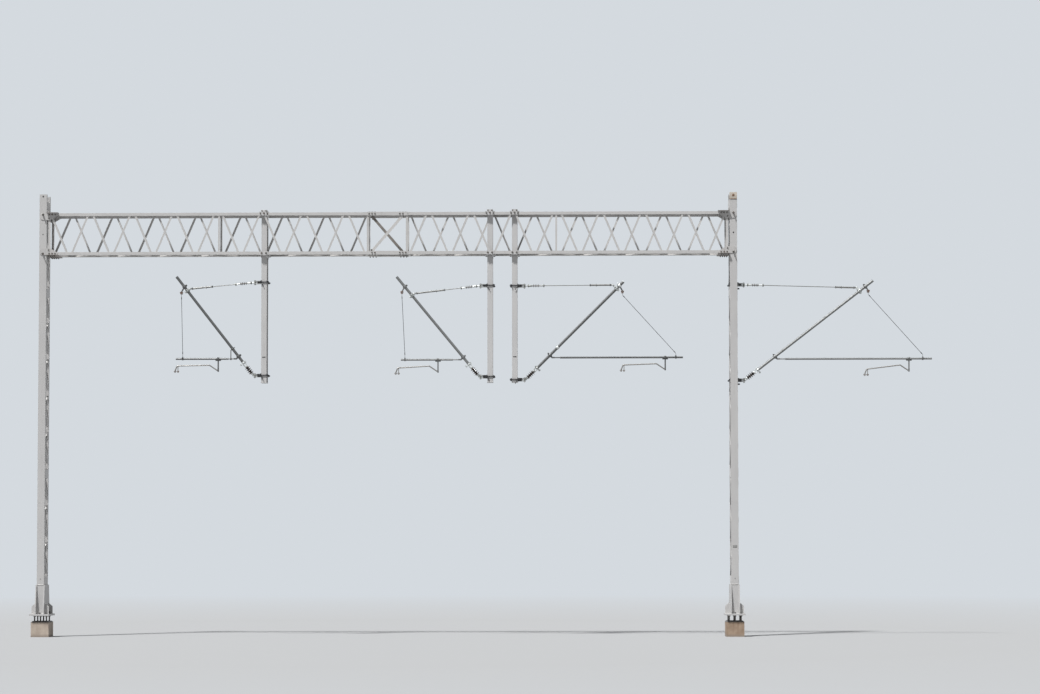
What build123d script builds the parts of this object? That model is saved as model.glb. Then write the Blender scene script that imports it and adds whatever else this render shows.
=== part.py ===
from build123d import *
import os
from math import atan2, cos, degrees, hypot, radians, sin

# Railway catenary portal mast: two laced masts on concrete foundation heads carry a box
# lattice beam. Three drop posts hang from the beam, and four tubular cantilevers, hinged
# on the posts and on the right mast, hold the messenger and contact wires over four tracks.
# Millimetres. X runs along the beam, Y along the tracks with the front at -Y, and Z is up.
# The origin is the centre of the left foundation head's underside.

os.makedirs("parts", exist_ok=True)

# Overall layout
span = 15240.0
first_post_x = 4891.0
second_post_x = 9882.0
post_pair_spacing = 543.0
beam_bottom = 8420.0
beam_height = 930.0
mast_head = 420.0

# Foundation heads, anchor bolts and mast feet
foundation_width = 390.0
foundation_depth = 460.0
foundation_height = 350.0
foundation_chamfer = 25.0
levelling_gap = 117.0
base_width = 430.0
base_depth = 600.0
base_thickness = 40.0
anchor_spacing_x = 130.0
anchor_spacing_y = 290.0
anchor_diameter = 30.0
anchor_stick_out = 30.0
anchor_hole_clearance = 1.5
nut_across_flats = 46.0
nut_height = 26.0
side_plate = 21.0
side_plate_top = 1145.0
side_plate_foot = 270.0
side_plate_head = 205.0
side_plate_straight = 160.0
gusset_reach = 89.0
gusset_thickness = 12.0
gusset_straight = 163.0
gusset_height = 240.0
drain_width = 35.0
drain_height = 22.0

# Masts: two channels, webs to the front and back, laced between their flanges
channel_width = 160.0
channel_flange = 65.0
channel_web = 7.5
channel_flange_thickness = 10.5
channel_root_radius = 10.5
channel_toe_radius = 5.0
mast_depth = 380.0
lacing_pitch = 405.0
lacing_start = 1335.0
lacing_bars = 20
lacing_width = 45.0
lacing_thickness = 5.0
lacing_leg = 36.0
batten_height = 190.0
batten_z = (1240.0, 3590.0, 7595.0, 9520.0)

# Lattice beam: four chord angles with lacing on all four sides, in two halves
chord_size = 65.0
chord_thickness = 6.0
chord_start = 100.0
half_panels = 15
end_post_x = 143.0
first_node_x = 124.0
last_node_back = 451.0
splice_post_back = 431.0
stiffener_node = 8
stiffener_gap = 75.0
diagonal_width = 40.0
diagonal_thickness = 4.0
diagonal_leg = 40.0
node_spread = 50.0
end_post_width = 50.0
cross_width = 50.0
chord_end_gap = 500.0
splice_size = 80.0
splice_thickness = 8.0
splice_length = 900.0
brace_end_gap = 28.0
brace_width = 60.0
brace_thickness = 6.0

# Joint between beam and mast: lap plates with round ears, seat plates and clamping rods
lap_thickness = 10.0
lap_length = 330.0
lap_height = 150.0
lap_tip = 50.0
lap_shoulder = 165.0
seat_thickness = 10.0
seat_length = 341.0
seat_overhang = 70.0
rod_diameter = 24.0
rod_stick_out = 70.0
rod_hole_clearance = 1.5
rod_nut_across_flats = 36.0
rod_nut_height = 20.0

# Drop posts: rolled I-sections between the beam's front and back sides
post_width = 120.0
post_depth = 240.0
post_flange = 9.8
post_web = 6.2
post_radius = 15.0
post_bottom = 5600.0
post_head = 60.0
post_plate = 8.0
post_plate_width = 136.0
post_plate_depth = 250.0
cross_angle_size = 60.0
cross_angle_thickness = 6.0
upper_cleat = (118.0, 55.0, 62.0, 8.0)
lower_cleat = (177.0, 10.0, 70.0, 8.0)

# Cantilevers, first on the left. Reaches are from the face of the post or mast.
drop_post_x = (first_post_x, second_post_x, second_post_x + post_pair_spacing)
cantilever_face = (drop_post_x[0] - post_width / 2, drop_post_x[1] - post_width / 2,
                   drop_post_x[2] + post_width / 2, span + channel_width / 2)
cantilever_side = (-1, -1, 1, 1)
lower_pin_z = (5758.0, 5721.0, 5654.0, 5630.0)
upper_pin_z = (7823.0, 7737.0, 7730.0, 7741.0)
messenger_reach = (1787.0, 1893.0, 2318.0, 2896.0)
strut_overhang = (283.0, 285.0, 128.0, 215.0)
tie_clamp_back = (110.0, 250.0, 90.0, 164.0)
tie_eye_offset = (68.0, 68.0, 113.0, 96.0)
registration_z = (6130.0, 6100.0, 6141.0, 6100.0)
registration_reach = (1904.0, 1914.0, 3645.0, 4283.0)
stay_reach = (1753.0, 1825.0, 3489.0, 4083.0)
drop_reach = (965.0, 1094.0, 3255.0, 3779.0)
arm_side = (1, 1, -1, -1)
arm_reach = (1877.0, 1984.0, 2327.0, 2850.0)
messenger_z = 7590.0
contact_z = (5846.0, 5791.0, 5846.0, 5742.0)

# Cantilever brackets and hinges
hinge_offset = 155.0
bracket_plate = 12.0
bracket_height = 70.0
strap_bolt_diameter = 20.0
strap_clearance = 2.0
strap_bolt_stick_out = 38.0
lug_width = 44.0
lug_thickness = 12.0
lug_gap = 50.0
hinge_pin_diameter = 20.0
hinge_pin_length = 96.0
hinge_clearance = 0.05
hinge_end_play = 0.3
lug_web_thickness = 16.0
lug_web_gap = 6.5

# Cantilever tubes, insulators and fittings
strut_diameter = 60.3
strut_wall = 5.0
strut_foot_reach = 220.0
strut_foot_rise = 45.0
strut_insulator_length = 320.0
strut_core_diameter = 44.0
strut_shed_diameter = 124.0
strut_sheds = 4
strut_cap_diameter = 76.0
strut_cap_length = 80.0
tie_start_reach = 235.0
tie_insulator_length = 355.0
tie_core_diameter = 26.0
tie_shed_diameter = 72.0
tie_sheds = 5
tie_cap_diameter = 40.0
tie_cap_length = 70.0
shed_thickness = 14.0
tie_rod_diameter = 16.0
turnbuckle_diameter = 36.0
turnbuckle_length = (450.0, 620.0, 450.0, 410.0)
clamp_wall = 11.0
clamp_length = 56.0
tongue_thickness = 16.0
tongue_height = 36.0
tongue_level = 50.0
eye_plate = 12.0
eye_radius = 17.0
registration_eye_offset = 51.0
fork_thickness = 8.0
fork_gap = 0.3
fork_length = 45.0
fork_pin_diameter = 16.0
hanger_offset = 65.0
hanger_rise = (140.0, 128.0, 140.0, 105.0)
hanger_width = 30.0
saddle_width = 44.0
saddle_height = 46.0
saddle_length = 70.0
messenger_radius = 6.5
registration_diameter = 42.4
registration_wall = 4.0
registration_rod = 26.0
registration_rod_length = 130.0
registration_drop = 52.0
drop_length = 270.0
drop_bar_width = 30.0
drop_bar_thickness = 14.0
pivot_room = 36.0
arm_diameter = 26.9
arm_wall = 2.6
arm_knee_reach = 195.0
arm_knee_rise = 130.0
arm_end_rise = 128.0
arm_tip_reach = 45.0
arm_bend_radius = 30.0
arm_eye_radius = 18.0
arm_eye_width = 16.0
wire_clamp_width = 30.0
wire_clamp_height = 38.0
wire_clamp_length = 36.0
wire_radius = 6.0
second_clamp_back = 20.0
clamp_leg_width = 16.0
clamp_leg_depth = 14.0
stay_diameter = 8.0
stay_bend_radius = 15.0
stay_end = 45.0
stay_lug_height = 44.0
seat_gap = 0.02

# Values that follow from those above
base_bottom = foundation_height + levelling_gap
base_top = base_bottom + base_thickness
half_depth = mast_depth / 2
channel_half = channel_width / 2
middle = span / 2
beam_top = beam_bottom + beam_height
mast_top = beam_top + mast_head
post_top = beam_top + post_head
splice_start = middle - splice_length / 2
panel = (middle - last_node_back - stiffener_gap - first_node_x) / half_panels
upper_rod_z = beam_top - chord_size / 2
lower_rod_z = beam_bottom + chord_size / 2


def keep(name, solids):
    """Write the solids of one sub-part to its own file."""
    flat = [s for shape in solids for s in shape.solids()]
    export_step(Compound(children=flat), f"parts/{name}.step")


def block(x0, x1, y0, y1, z0, z1):
    """A box between two corners."""
    centre = Pos((x0 + x1) / 2, (y0 + y1) / 2, (z0 + z1) / 2)
    return centre * Box(abs(x1 - x0), abs(y1 - y0), abs(z1 - z0))


def rod(start, end, radius):
    """A round bar from one point to another."""
    line = Vector(*end) - Vector(*start)
    place = Plane(origin=start, z_dir=line)
    return place * Cylinder(radius, line.length, align=(Align.CENTER, Align.CENTER, Align.MIN))


def cross_rod(x, z, y0, y1, radius):
    """A round bar along Y."""
    return rod((x, y0, z), (x, y1, z), radius)


def hexagon(x, y, z, height, across_flats, along=(0, 0, 1)):
    """A hexagon nut that starts at a point and grows along a direction."""
    place = Plane(origin=(x, y, z), z_dir=along)
    return prism(place, RegularPolygon(across_flats / 2, 6, major_radius=False), height)


def strip(p, q, width, shift=0.0, cut_back=0.0, overrun=0.0):
    """A flat bar's outline between two points of a plane, shifted sideways and cut back."""
    run = hypot(q[0] - p[0], q[1] - p[1])
    ux, uy = (q[0] - p[0]) / run, (q[1] - p[1]) / run
    length = run - 2 * cut_back + 2 * overrun
    mx, my = (p[0] + q[0]) / 2 - uy * shift, (p[1] + q[1]) / 2 + ux * shift
    return Pos(mx, my) * (Rot(0, 0, degrees(atan2(uy, ux))) * Rectangle(length, width))


def prism(plane, outlines, amount):
    """Extrude one outline, or several joined, along the plane's own direction."""
    return extrude(plane * (Sketch() + outlines), amount, dir=plane.z_dir)


def foundation():
    """The concrete head of the foundation pile."""
    head = block(-foundation_width / 2, foundation_width / 2, -foundation_depth / 2,
                 foundation_depth / 2, 0, foundation_height)
    return chamfer(head.edges().group_by(Axis.Z)[-1], foundation_chamfer)


def anchor_places():
    """Centres of the anchor bolts, three in front and three behind."""
    rows = (-anchor_spacing_y / 2, anchor_spacing_y / 2)
    return [(x * anchor_spacing_x, y) for y in rows for x in (-1, 0, 1)]


def anchor_bolt(x, y):
    """One anchor bolt with its levelling nut and its top nut."""
    top = base_top + nut_height + anchor_stick_out
    bolt = rod((x, y, foundation_height), (x, y, top), anchor_diameter / 2)
    bolt += hexagon(x, y, base_bottom - nut_height, nut_height, nut_across_flats)
    return bolt + hexagon(x, y, base_top, nut_height, nut_across_flats)


def mast_base():
    """Base plate with two side plates along the flanges and four outer gussets."""
    base = block(-base_width / 2, base_width / 2, -base_depth / 2, base_depth / 2,
                 base_bottom, base_top)
    bend = base_top + side_plate_straight
    side = Polygon((-side_plate_foot, base_top), (side_plate_foot, base_top),
                   (side_plate_foot, bend), (side_plate_head, side_plate_top),
                   (-side_plate_head, side_plate_top), (-side_plate_foot, bend), align=None)
    outer = channel_half + side_plate
    gusset = Polygon((outer, base_top), (outer + gusset_reach, base_top),
                     (outer + gusset_reach, base_top + gusset_straight),
                     (outer, base_top + gusset_height), align=None)
    for way in (-1, 1):
        base += prism(Plane.YZ.offset(way * channel_half), side, way * side_plate)
        wing = prism(Plane.XZ.offset(way * (half_depth - gusset_thickness)), gusset,
                     way * gusset_thickness)
        base += [wing, mirror(wing, Plane.YZ)]
    hole = anchor_diameter / 2 + anchor_hole_clearance
    for x, y in anchor_places():
        base -= rod((x, y, base_bottom - 1), (x, y, base_top + 1), hole)
    return base


def channel(way):
    """One upright channel with its web to the front or the back."""
    outline = Pos(0, half_depth - channel_flange / 2) * Rectangle(channel_width, channel_flange)
    hollow_width = channel_width - 2 * channel_flange_thickness
    hollow = channel_flange - channel_web
    inner = Pos(0, half_depth - channel_web - hollow / 2) * Rectangle(hollow_width, hollow)
    inner = fillet(inner.vertices().group_by(Axis.Y)[-1], channel_root_radius)
    outline -= inner
    tips = [v for v in outline.vertices()
            if abs(v.Y - (half_depth - channel_flange)) < 0.01 and abs(v.X) < channel_half - 0.01]
    outline = fillet(tips, channel_toe_radius)
    bar = prism(Plane.XY.offset(base_top), outline, mast_top - base_top)
    hole = rod_diameter / 2 + rod_hole_clearance
    for z in (lower_rod_z, upper_rod_z):
        bar -= cross_rod(0, z, half_depth - channel_web - 1, half_depth + 1, hole)
    bar -= block(-drain_width / 2, drain_width / 2, half_depth - channel_web - 1, half_depth + 1,
                 base_top - 1, base_top + drain_height)
    return bar if way > 0 else mirror(bar, Plane.XZ)


def mast_lacing(way):
    """Zigzag angle bars and battens on the flanges' outer faces, on one side of a mast."""
    reach = half_depth - channel_flange / 2
    leg_room = half_depth - channel_flange - lacing_width / 2
    plane = Plane(origin=(way * channel_half, 0, 0), x_dir=(0, way, 0), z_dir=(way, 0, 0))
    edge = (lacing_width - lacing_thickness) / 2
    cut = (reach - leg_room) / (2 * reach) * hypot(2 * reach, lacing_pitch)
    flats, legs = [], []
    for k in range(lacing_bars):
        side = way if k % 2 == 0 else -way
        p = (side * reach, lacing_start + k * lacing_pitch)
        q = (-side * reach, lacing_start + (k + 1) * lacing_pitch)
        flats.append(strip(p, q, lacing_width))
        legs.append(strip(p, q, lacing_thickness, shift=edge, cut_back=cut))
    for z in batten_z:
        flats.append(Pos(0, z) * Rectangle(2 * reach + lacing_width / 2, batten_height))
    lacing = prism(plane, flats, lacing_thickness)
    return lacing + [prism(plane, leg, lacing_thickness) + prism(plane, leg, -lacing_leg)
                     for leg in legs]


def node_x(k):
    """Where panel k of a beam half starts along the beam; the stiffener stands in a wider gap."""
    return first_node_x + k * panel + (stiffener_gap if k >= stiffener_node else 0)


def chord(upper):
    """A chord angle of the left half's front side, heel at the beam's outer corner."""
    z = beam_top if upper else beam_bottom
    down = -1 if upper else 1
    heel = (-half_depth, z)
    outline = Polygon(heel, (heel[0] + chord_size, z), (heel[0] + chord_size, z + down * chord_thickness),
                      (heel[0] + chord_thickness, z + down * chord_thickness),
                      (heel[0] + chord_thickness, z + down * chord_size),
                      (heel[0], z + down * chord_size), align=None)
    return prism(Plane.YZ.offset(chord_start), outline, middle - chord_end_gap / 2 - chord_start)


def beam_side(front, edge_way):
    """One side of the beam's left half: two chords, zigzag and verticals.

    The diagonals' standing legs are on their upper edge for edge_way 1, or their lower for -1.
    """
    top, low = beam_top - chord_size / 2, beam_bottom + chord_size / 2
    flats, legs = [], []
    edge = edge_way * (diagonal_width - diagonal_thickness) / 2
    cut = chord_size
    for k in range(half_panels):
        falls = (k % 2 == 0) == front
        p = (node_x(k) + node_spread, top if falls else low)
        q = (node_x(k) + panel - node_spread, low if falls else top)
        flats.append(strip(p, q, diagonal_width))
        legs.append(strip(p, q, diagonal_thickness, shift=edge, cut_back=cut))
    uprights = ((end_post_x, end_post_width), (node_x(stiffener_node) - stiffener_gap / 4, diagonal_width),
                (middle - splice_post_back, end_post_width))
    for x, width in uprights:
        flats.append(strip((x, low), (x, top), width, overrun=chord_size / 4))
        shift = (width - diagonal_thickness) / 2
        legs.append(strip((x, low), (x, top), diagonal_thickness, shift=shift, cut_back=cut / 2))
    plane = Plane(origin=(0, chord_thickness - half_depth, 0), x_dir=(1, 0, 0), z_dir=(0, -1, 0))
    side = chord(True) + chord(False) + prism(plane, flats, -diagonal_thickness)
    side += [prism(plane, leg, -diagonal_leg) for leg in legs]
    return side if front else mirror(side, Plane.XZ)


def free_panels(posts):
    """Half-panels of the top and bottom lacing that no drop post passes through."""
    room = post_width / 2 + diagonal_width
    free = []
    for k in range(half_panels):
        if not any(node_x(k) - room < x < node_x(k) + panel + room for x in posts):
            free.append(k)
    return free


def beam_lacing(upper, posts):
    """Zigzag and cross bars laid on the outside of the top or bottom chords of a half."""
    reach = half_depth - chord_size / 2
    leg_room = half_depth - chord_size - diagonal_width / 2
    z = beam_top if upper else beam_bottom
    out = 1 if upper else -1
    plane = Plane(origin=(0, 0, z), x_dir=(1, 0, 0), z_dir=(0, 0, 1))
    flats, legs = [], []
    edge = (diagonal_width - diagonal_thickness) / 2
    for k in free_panels(posts):
        side = 1 if (k % 2 == 0) == upper else -1
        p, q = (node_x(k), side * reach), (node_x(k) + panel, -side * reach)
        flats.append(strip(p, q, diagonal_width))
        cut = (reach - leg_room) / (2 * reach) * hypot(2 * reach, panel)
        legs.append(strip(p, q, diagonal_thickness, shift=edge, cut_back=cut))
    end = splice_start - cross_width / 2
    flats.append(strip((end, -reach), (end, reach), cross_width, overrun=chord_size / 4))
    lacing = prism(plane, flats, out * diagonal_thickness)
    lacing += [prism(plane, leg, -out * diagonal_leg) + prism(plane, leg, out * diagonal_thickness)
               for leg in legs]
    lacing -= block(0, seat_length, -half_depth, half_depth, z, z + out * seat_thickness)
    return lacing - block(splice_start, middle, -half_depth, half_depth, z, z + out * splice_thickness)


def splice_angle(upper):
    """An angle laid over the chords' outer corner, across the joint of the two halves."""
    down = -1 if upper else 1
    z = (beam_top if upper else beam_bottom) - down * splice_thickness
    y = -half_depth - splice_thickness
    outline = Polygon((y, z), (y + splice_size, z), (y + splice_size, z + down * splice_thickness),
                      (y + splice_thickness, z + down * splice_thickness),
                      (y + splice_thickness, z + down * splice_size), (y, z + down * splice_size),
                      align=None)
    return prism(Plane.YZ.offset(splice_start), outline, splice_length)


def centre_brace(front):
    """The wide diagonal of the splice bay, rising to the right in front."""
    y = chord_thickness - half_depth
    half = splice_post_back - brace_end_gap - brace_width / 2
    lean = 1 if front else -1
    inset = chord_size / 2
    p = (middle - lean * half, beam_bottom + inset)
    q = (middle + lean * half, beam_top - inset)
    plane = Plane(origin=(0, y, 0), x_dir=(1, 0, 0), z_dir=(0, -1, 0))
    flat = prism(plane, strip(p, q, brace_width), -brace_thickness)
    edge = (brace_width - brace_thickness) / 2
    leg = strip(p, q, brace_thickness, shift=edge, cut_back=brace_width)
    flat += prism(plane, leg, -brace_width)
    return flat if front else mirror(flat, Plane.XZ)


def lap_plate(upper):
    """Front lap plate that ties a chord's end to the mast, with its round end on the mast."""
    z = beam_top if upper else beam_bottom
    down = -1 if upper else 1
    centre = upper_rod_z if upper else lower_rod_z
    outline = Polygon((0, z), (lap_length, z), (lap_length, z + down * lap_tip),
                      (lap_shoulder, z + down * lap_height), (0, z + down * lap_height), align=None)
    end = Pos(0, z + down * lap_height / 2) * Circle(lap_height / 2)
    plane = Plane(origin=(0, -half_depth, 0), x_dir=(1, 0, 0), z_dir=(0, -1, 0))
    plate = prism(plane, outline, lap_thickness) + prism(plane, end, lap_thickness)
    hole = rod_diameter / 2 + rod_hole_clearance
    return plate - cross_rod(0, centre, -half_depth - lap_thickness - 1, 1 - half_depth, hole)


def beam_joint():
    """The four lap plates and two seat plates at the left end of the beam."""
    pieces = []
    for upper in (True, False):
        plate = lap_plate(upper)
        pieces += [plate, mirror(plate, Plane.XZ)]
        z = beam_top if upper else beam_bottom
        out = seat_thickness if upper else -seat_thickness
        edge = half_depth + seat_overhang
        pieces.append(block(channel_half + lacing_thickness, seat_length, -edge, edge, z, z + out))
    return pieces


def clamp_rod(z):
    """A threaded rod through both channels of a mast with a nut at each end."""
    end = half_depth + lap_thickness + rod_stick_out
    bar = cross_rod(0, z, -end, end, rod_diameter / 2)
    face = half_depth + lap_thickness
    for way in (-1, 1):
        bar += hexagon(0, way * face, z, rod_nut_height, rod_nut_across_flats, (0, way, 0))
    return bar


def drop_post():
    """An I-section post with a thin end plate below."""
    outline = Rectangle(post_width, post_depth)
    side = (post_width - post_web) / 2
    hollow = post_depth - 2 * post_flange
    for way in (-1, 1):
        centre = way * (post_web + side) / 2
        pocket = Pos(centre, 0) * Rectangle(side, hollow)
        near = pocket.vertices().group_by(Axis.X)[0 if way > 0 else -1]
        outline -= fillet(near, post_radius)
    post = prism(Plane.XY.offset(post_bottom), outline, post_top - post_bottom)
    return post + block(-post_plate_width / 2, post_plate_width / 2, -post_plate_depth / 2,
                        post_plate_depth / 2, post_bottom - post_plate, post_bottom)


def post_brackets():
    """Cross angles on the chords either side of a post, and cleats on the chords' faces."""
    x0 = post_width / 2
    t, size = cross_angle_thickness, cross_angle_size
    pieces = []
    for z, up, cleat in ((beam_top, 1, upper_cleat), (beam_bottom, -1, lower_cleat)):
        flat = block(x0, x0 + size, -half_depth, half_depth, z, z + up * t)
        upright = block(x0, x0 + t, -half_depth, half_depth, z, z + up * size)
        right = flat + upright
        width, over, beside, thickness = cleat
        front = block(-width / 2, width / 2, -half_depth - thickness, -half_depth,
                      z + up * over, z - up * beside)
        pieces += [right, mirror(right, Plane.YZ), front, mirror(front, Plane.XZ)]
    return pieces


def hinge_lugs(z, start):
    """Two level lugs with a web from the bracket plate, and the hinge pin through them."""
    lugs = []
    for z0 in (z + lug_gap / 2, z - lug_gap / 2 - lug_thickness):
        lug = block(start, hinge_offset, -lug_width / 2, lug_width / 2, z0, z0 + lug_thickness)
        lug += rod((hinge_offset, 0, z0), (hinge_offset, 0, z0 + lug_thickness), lug_width / 2)
        lugs.append(lug)
    pin = rod((hinge_offset, 0, z - hinge_pin_length / 2),
              (hinge_offset, 0, z + hinge_pin_length / 2), hinge_pin_diameter / 2)
    web = block(start, hinge_offset - lug_width / 2 - lug_web_gap, -lug_web_thickness / 2,
                lug_web_thickness / 2, z - lug_gap / 2, z + lug_gap / 2)
    return lugs[0] + lugs[1] + web + pin


def post_bracket(z):
    """Clamp round a drop post, drawn up by two long bolts, with its hinge lugs."""
    half = bracket_height / 2
    y = post_depth / 2 + strap_clearance + strap_bolt_diameter / 2
    end = y + strap_bolt_diameter
    far = -post_width - bracket_plate
    bracket = block(0, bracket_plate, -end, end, z - half, z + half)
    bracket += block(far, far + bracket_plate, -end, end, z - half / 2, z + half / 2)
    for way in (-1, 1):
        bracket += rod((far - strap_bolt_stick_out, way * y, z),
                       (bracket_plate + strap_bolt_stick_out, way * y, z), strap_bolt_diameter / 2)
    return bracket + hinge_lugs(z, 0)


def mast_bracket(z):
    """Plates on the lacing at both sides of a mast, with the hinge lugs on the outer one."""
    half = bracket_height / 2
    end = half_depth - lacing_thickness
    near, far = lacing_thickness, -channel_width - lacing_thickness
    plate = block(near, near + bracket_plate, -end, end, z - half, z + half)
    strap = block(far - bracket_plate, far, -end, end, z - half / 2, z + half / 2)
    return [plate + hinge_lugs(z, near), strap]


def swivel_eye(z):
    """The eye that turns on the hinge pin."""
    half = lug_gap / 2 - hinge_end_play
    eye = rod((hinge_offset, 0, z - half), (hinge_offset, 0, z + half), lug_width / 2)
    bore = hinge_pin_diameter / 2 + hinge_clearance
    return eye, rod((hinge_offset, 0, z - half - 1), (hinge_offset, 0, z + half + 1), bore)


def insulator(start, angle, length, core, shed, sheds, cap, cap_length):
    """A rod insulator with metal end caps and a row of sheds, turned about its own axis."""
    points = [(0, 0), (cap / 2, 0), (cap / 2, cap_length), (core / 2, cap_length)]
    pitch = (length - 2 * cap_length) / sheds
    for k in range(sheds):
        z = cap_length + (k + 0.5) * pitch
        points += [(core / 2, z - shed_thickness / 2), (shed / 2, z), (core / 2, z + shed_thickness / 2)]
    points += [(core / 2, length - cap_length), (cap / 2, length - cap_length), (cap / 2, length), (0, length)]
    turned = revolve(Plane.XZ * Polygon(*points, align=None), Axis.Z)
    place = Plane(origin=(start[0], 0, start[1]), x_dir=(0, 1, 0),
                  z_dir=(cos(angle), 0, sin(angle)))
    return place * turned


def fork(eye, angle, body_length, body_diameter):
    """A fork with its pin round an eye plate, and the round shank that leads away from it."""
    c, s = cos(angle), sin(angle)
    shank_start = (eye[0] + c * fork_length, eye[1] + s * fork_length)
    shank_end = (eye[0] + c * (fork_length + body_length), eye[1] + s * (fork_length + body_length))
    shape = rod((shank_start[0], 0, shank_start[1]), (shank_end[0], 0, shank_end[1]),
                body_diameter / 2)
    inner = eye_plate / 2 + fork_gap
    for way in (-1, 1):
        plane = Plane(origin=(0, way * inner, 0), x_dir=(1, 0, 0), z_dir=(0, -1, 0))
        cheek = strip(eye, shank_start, 2 * eye_radius * 0.9, overrun=eye_radius / 2)
        shape += prism(plane, cheek, -way * fork_thickness)
    bridge = strip(shank_start, (shank_start[0] + c * 10, shank_start[1] + s * 10), 2 * eye_radius * 0.9)
    plane = Plane(origin=(0, inner + fork_thickness, 0), x_dir=(1, 0, 0), z_dir=(0, -1, 0))
    shape += prism(plane, bridge, 2 * (inner + fork_thickness))
    pin = inner + fork_thickness + 4
    return shape + cross_rod(eye[0], eye[1], -pin, pin, fork_pin_diameter / 2)


class Cantilever:
    """One cantilever in its own frame: reach along +X from the face, heights as built."""

    def __init__(self, k):
        self.k = k
        self.foot = (strut_foot_reach, lower_pin_z[k] + strut_foot_rise)
        self.hang = (messenger_reach[k] - hanger_offset, messenger_z + hanger_rise[k])
        self.angle = atan2(self.hang[1] - self.foot[1], self.hang[0] - self.foot[0])
        self.run = hypot(self.hang[0] - self.foot[0], self.hang[1] - self.foot[1])
        self.tie_eye = self.offset(self.run - tie_clamp_back[k], tie_eye_offset[k])
        rise = registration_z[k] + registration_drop - self.foot[1]
        self.registration_clamp = rise / sin(self.angle)
        clamp = self.along(self.registration_clamp)
        self.registration_eye = (clamp[0] + registration_eye_offset, registration_z[k])
        self.tie_angle = atan2(self.tie_eye[1] - upper_pin_z[k], self.tie_eye[0] - hinge_offset)
        self.pivot = (drop_reach[k], registration_z[k] - drop_length)

    def along(self, distance):
        """A point on the strut's centre line."""
        return (self.foot[0] + distance * cos(self.angle), self.foot[1] + distance * sin(self.angle))

    def offset(self, distance, away):
        """A point beside the strut, on its upper, inner side."""
        x, z = self.along(distance)
        return (x - away * sin(self.angle), z + away * cos(self.angle))

    def placed(self, shape):
        """Move a shape from the cantilever's own frame to its post or mast."""
        if cantilever_side[self.k] < 0:
            shape = mirror(shape, Plane.YZ)
        return Pos(cantilever_face[self.k], 0, 0) * shape

    def brackets(self):
        """Upper and lower brackets, fixed to the post or mast."""
        levels = (upper_pin_z[self.k], lower_pin_z[self.k])
        if cantilever_face[self.k] > span:
            return [piece for z in levels for piece in mast_bracket(z)]
        return [post_bracket(z) for z in levels]

    def insulators(self):
        """The strut's and the tie's insulators with the eyes that turn on the hinge pins."""
        lower = insulator(self.foot, self.angle, strut_insulator_length, strut_core_diameter,
                          strut_shed_diameter, strut_sheds, strut_cap_diameter, strut_cap_length)
        pin_z = lower_pin_z[self.k]
        eye, bore = swivel_eye(pin_z)
        half = tongue_thickness / 2
        bend = (hinge_offset + tongue_level, pin_z)
        tongue = [strip((hinge_offset, pin_z), bend, tongue_height, overrun=tongue_height / 4),
                  strip(bend, self.along(strut_cap_length / 2), tongue_height)]
        plane = Plane(origin=(0, half, 0), x_dir=(1, 0, 0), z_dir=(0, -1, 0))
        lower += [eye, prism(plane, tongue, 2 * half)]
        lower -= bore
        pin_z = upper_pin_z[self.k]
        start = (tie_start_reach, pin_z + (tie_start_reach - hinge_offset) * sin(self.tie_angle))
        upper = insulator(start, self.tie_angle, tie_insulator_length, tie_core_diameter,
                          tie_shed_diameter, tie_sheds, tie_cap_diameter, tie_cap_length)
        eye, bore = swivel_eye(pin_z)
        upper += [eye, rod((hinge_offset, 0, pin_z), (start[0] + 10, 0, start[1]), tie_core_diameter / 2)]
        upper -= bore
        return [lower, upper]

    def strut(self):
        """The main tube with its clamps, the messenger hanger and saddle."""
        start = self.along(strut_insulator_length + seat_gap)
        end = self.along(self.run + strut_overhang[self.k])
        tube = rod((start[0], 0, start[1]), (end[0], 0, end[1]), strut_diameter / 2)
        for distance in (self.run, self.run - tie_clamp_back[self.k], self.registration_clamp):
            p = self.along(distance - clamp_length / 2)
            q = self.along(distance + clamp_length / 2)
            tube += rod((p[0], 0, p[1]), (q[0], 0, q[1]), strut_diameter / 2 + clamp_wall)
        plane = Plane(origin=(0, eye_plate / 2, 0), x_dir=(1, 0, 0), z_dir=(0, -1, 0))
        seat = (messenger_reach[self.k], messenger_z)
        plates = [strip(self.hang, (seat[0], seat[1] + saddle_height / 2), hanger_width, overrun=4)]
        tie_foot = self.along(self.run - tie_clamp_back[self.k])
        clamp = self.along(self.registration_clamp)
        for foot, eye in ((tie_foot, self.tie_eye), (clamp, self.registration_eye)):
            plates.append(strip(foot, eye, 2 * eye_radius))
            plates.append(Pos(*eye) * Circle(eye_radius))
        tube += prism(plane, plates, eye_plate)
        tube += block(seat[0] - saddle_width / 2, seat[0] + saddle_width / 2, -saddle_length / 2,
                      saddle_length / 2, seat[1] - saddle_height / 2, seat[1] + saddle_height / 2)
        tube -= cross_rod(seat[0], seat[1], -saddle_length, saddle_length, messenger_radius)
        for eye in (self.tie_eye, self.registration_eye):
            tube -= cross_rod(eye[0], eye[1], -eye_plate, eye_plate, fork_pin_diameter / 2 + fork_gap)
        return tube - rod((start[0], 0, start[1]), (end[0], 0, end[1]), strut_diameter / 2 - strut_wall)

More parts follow.
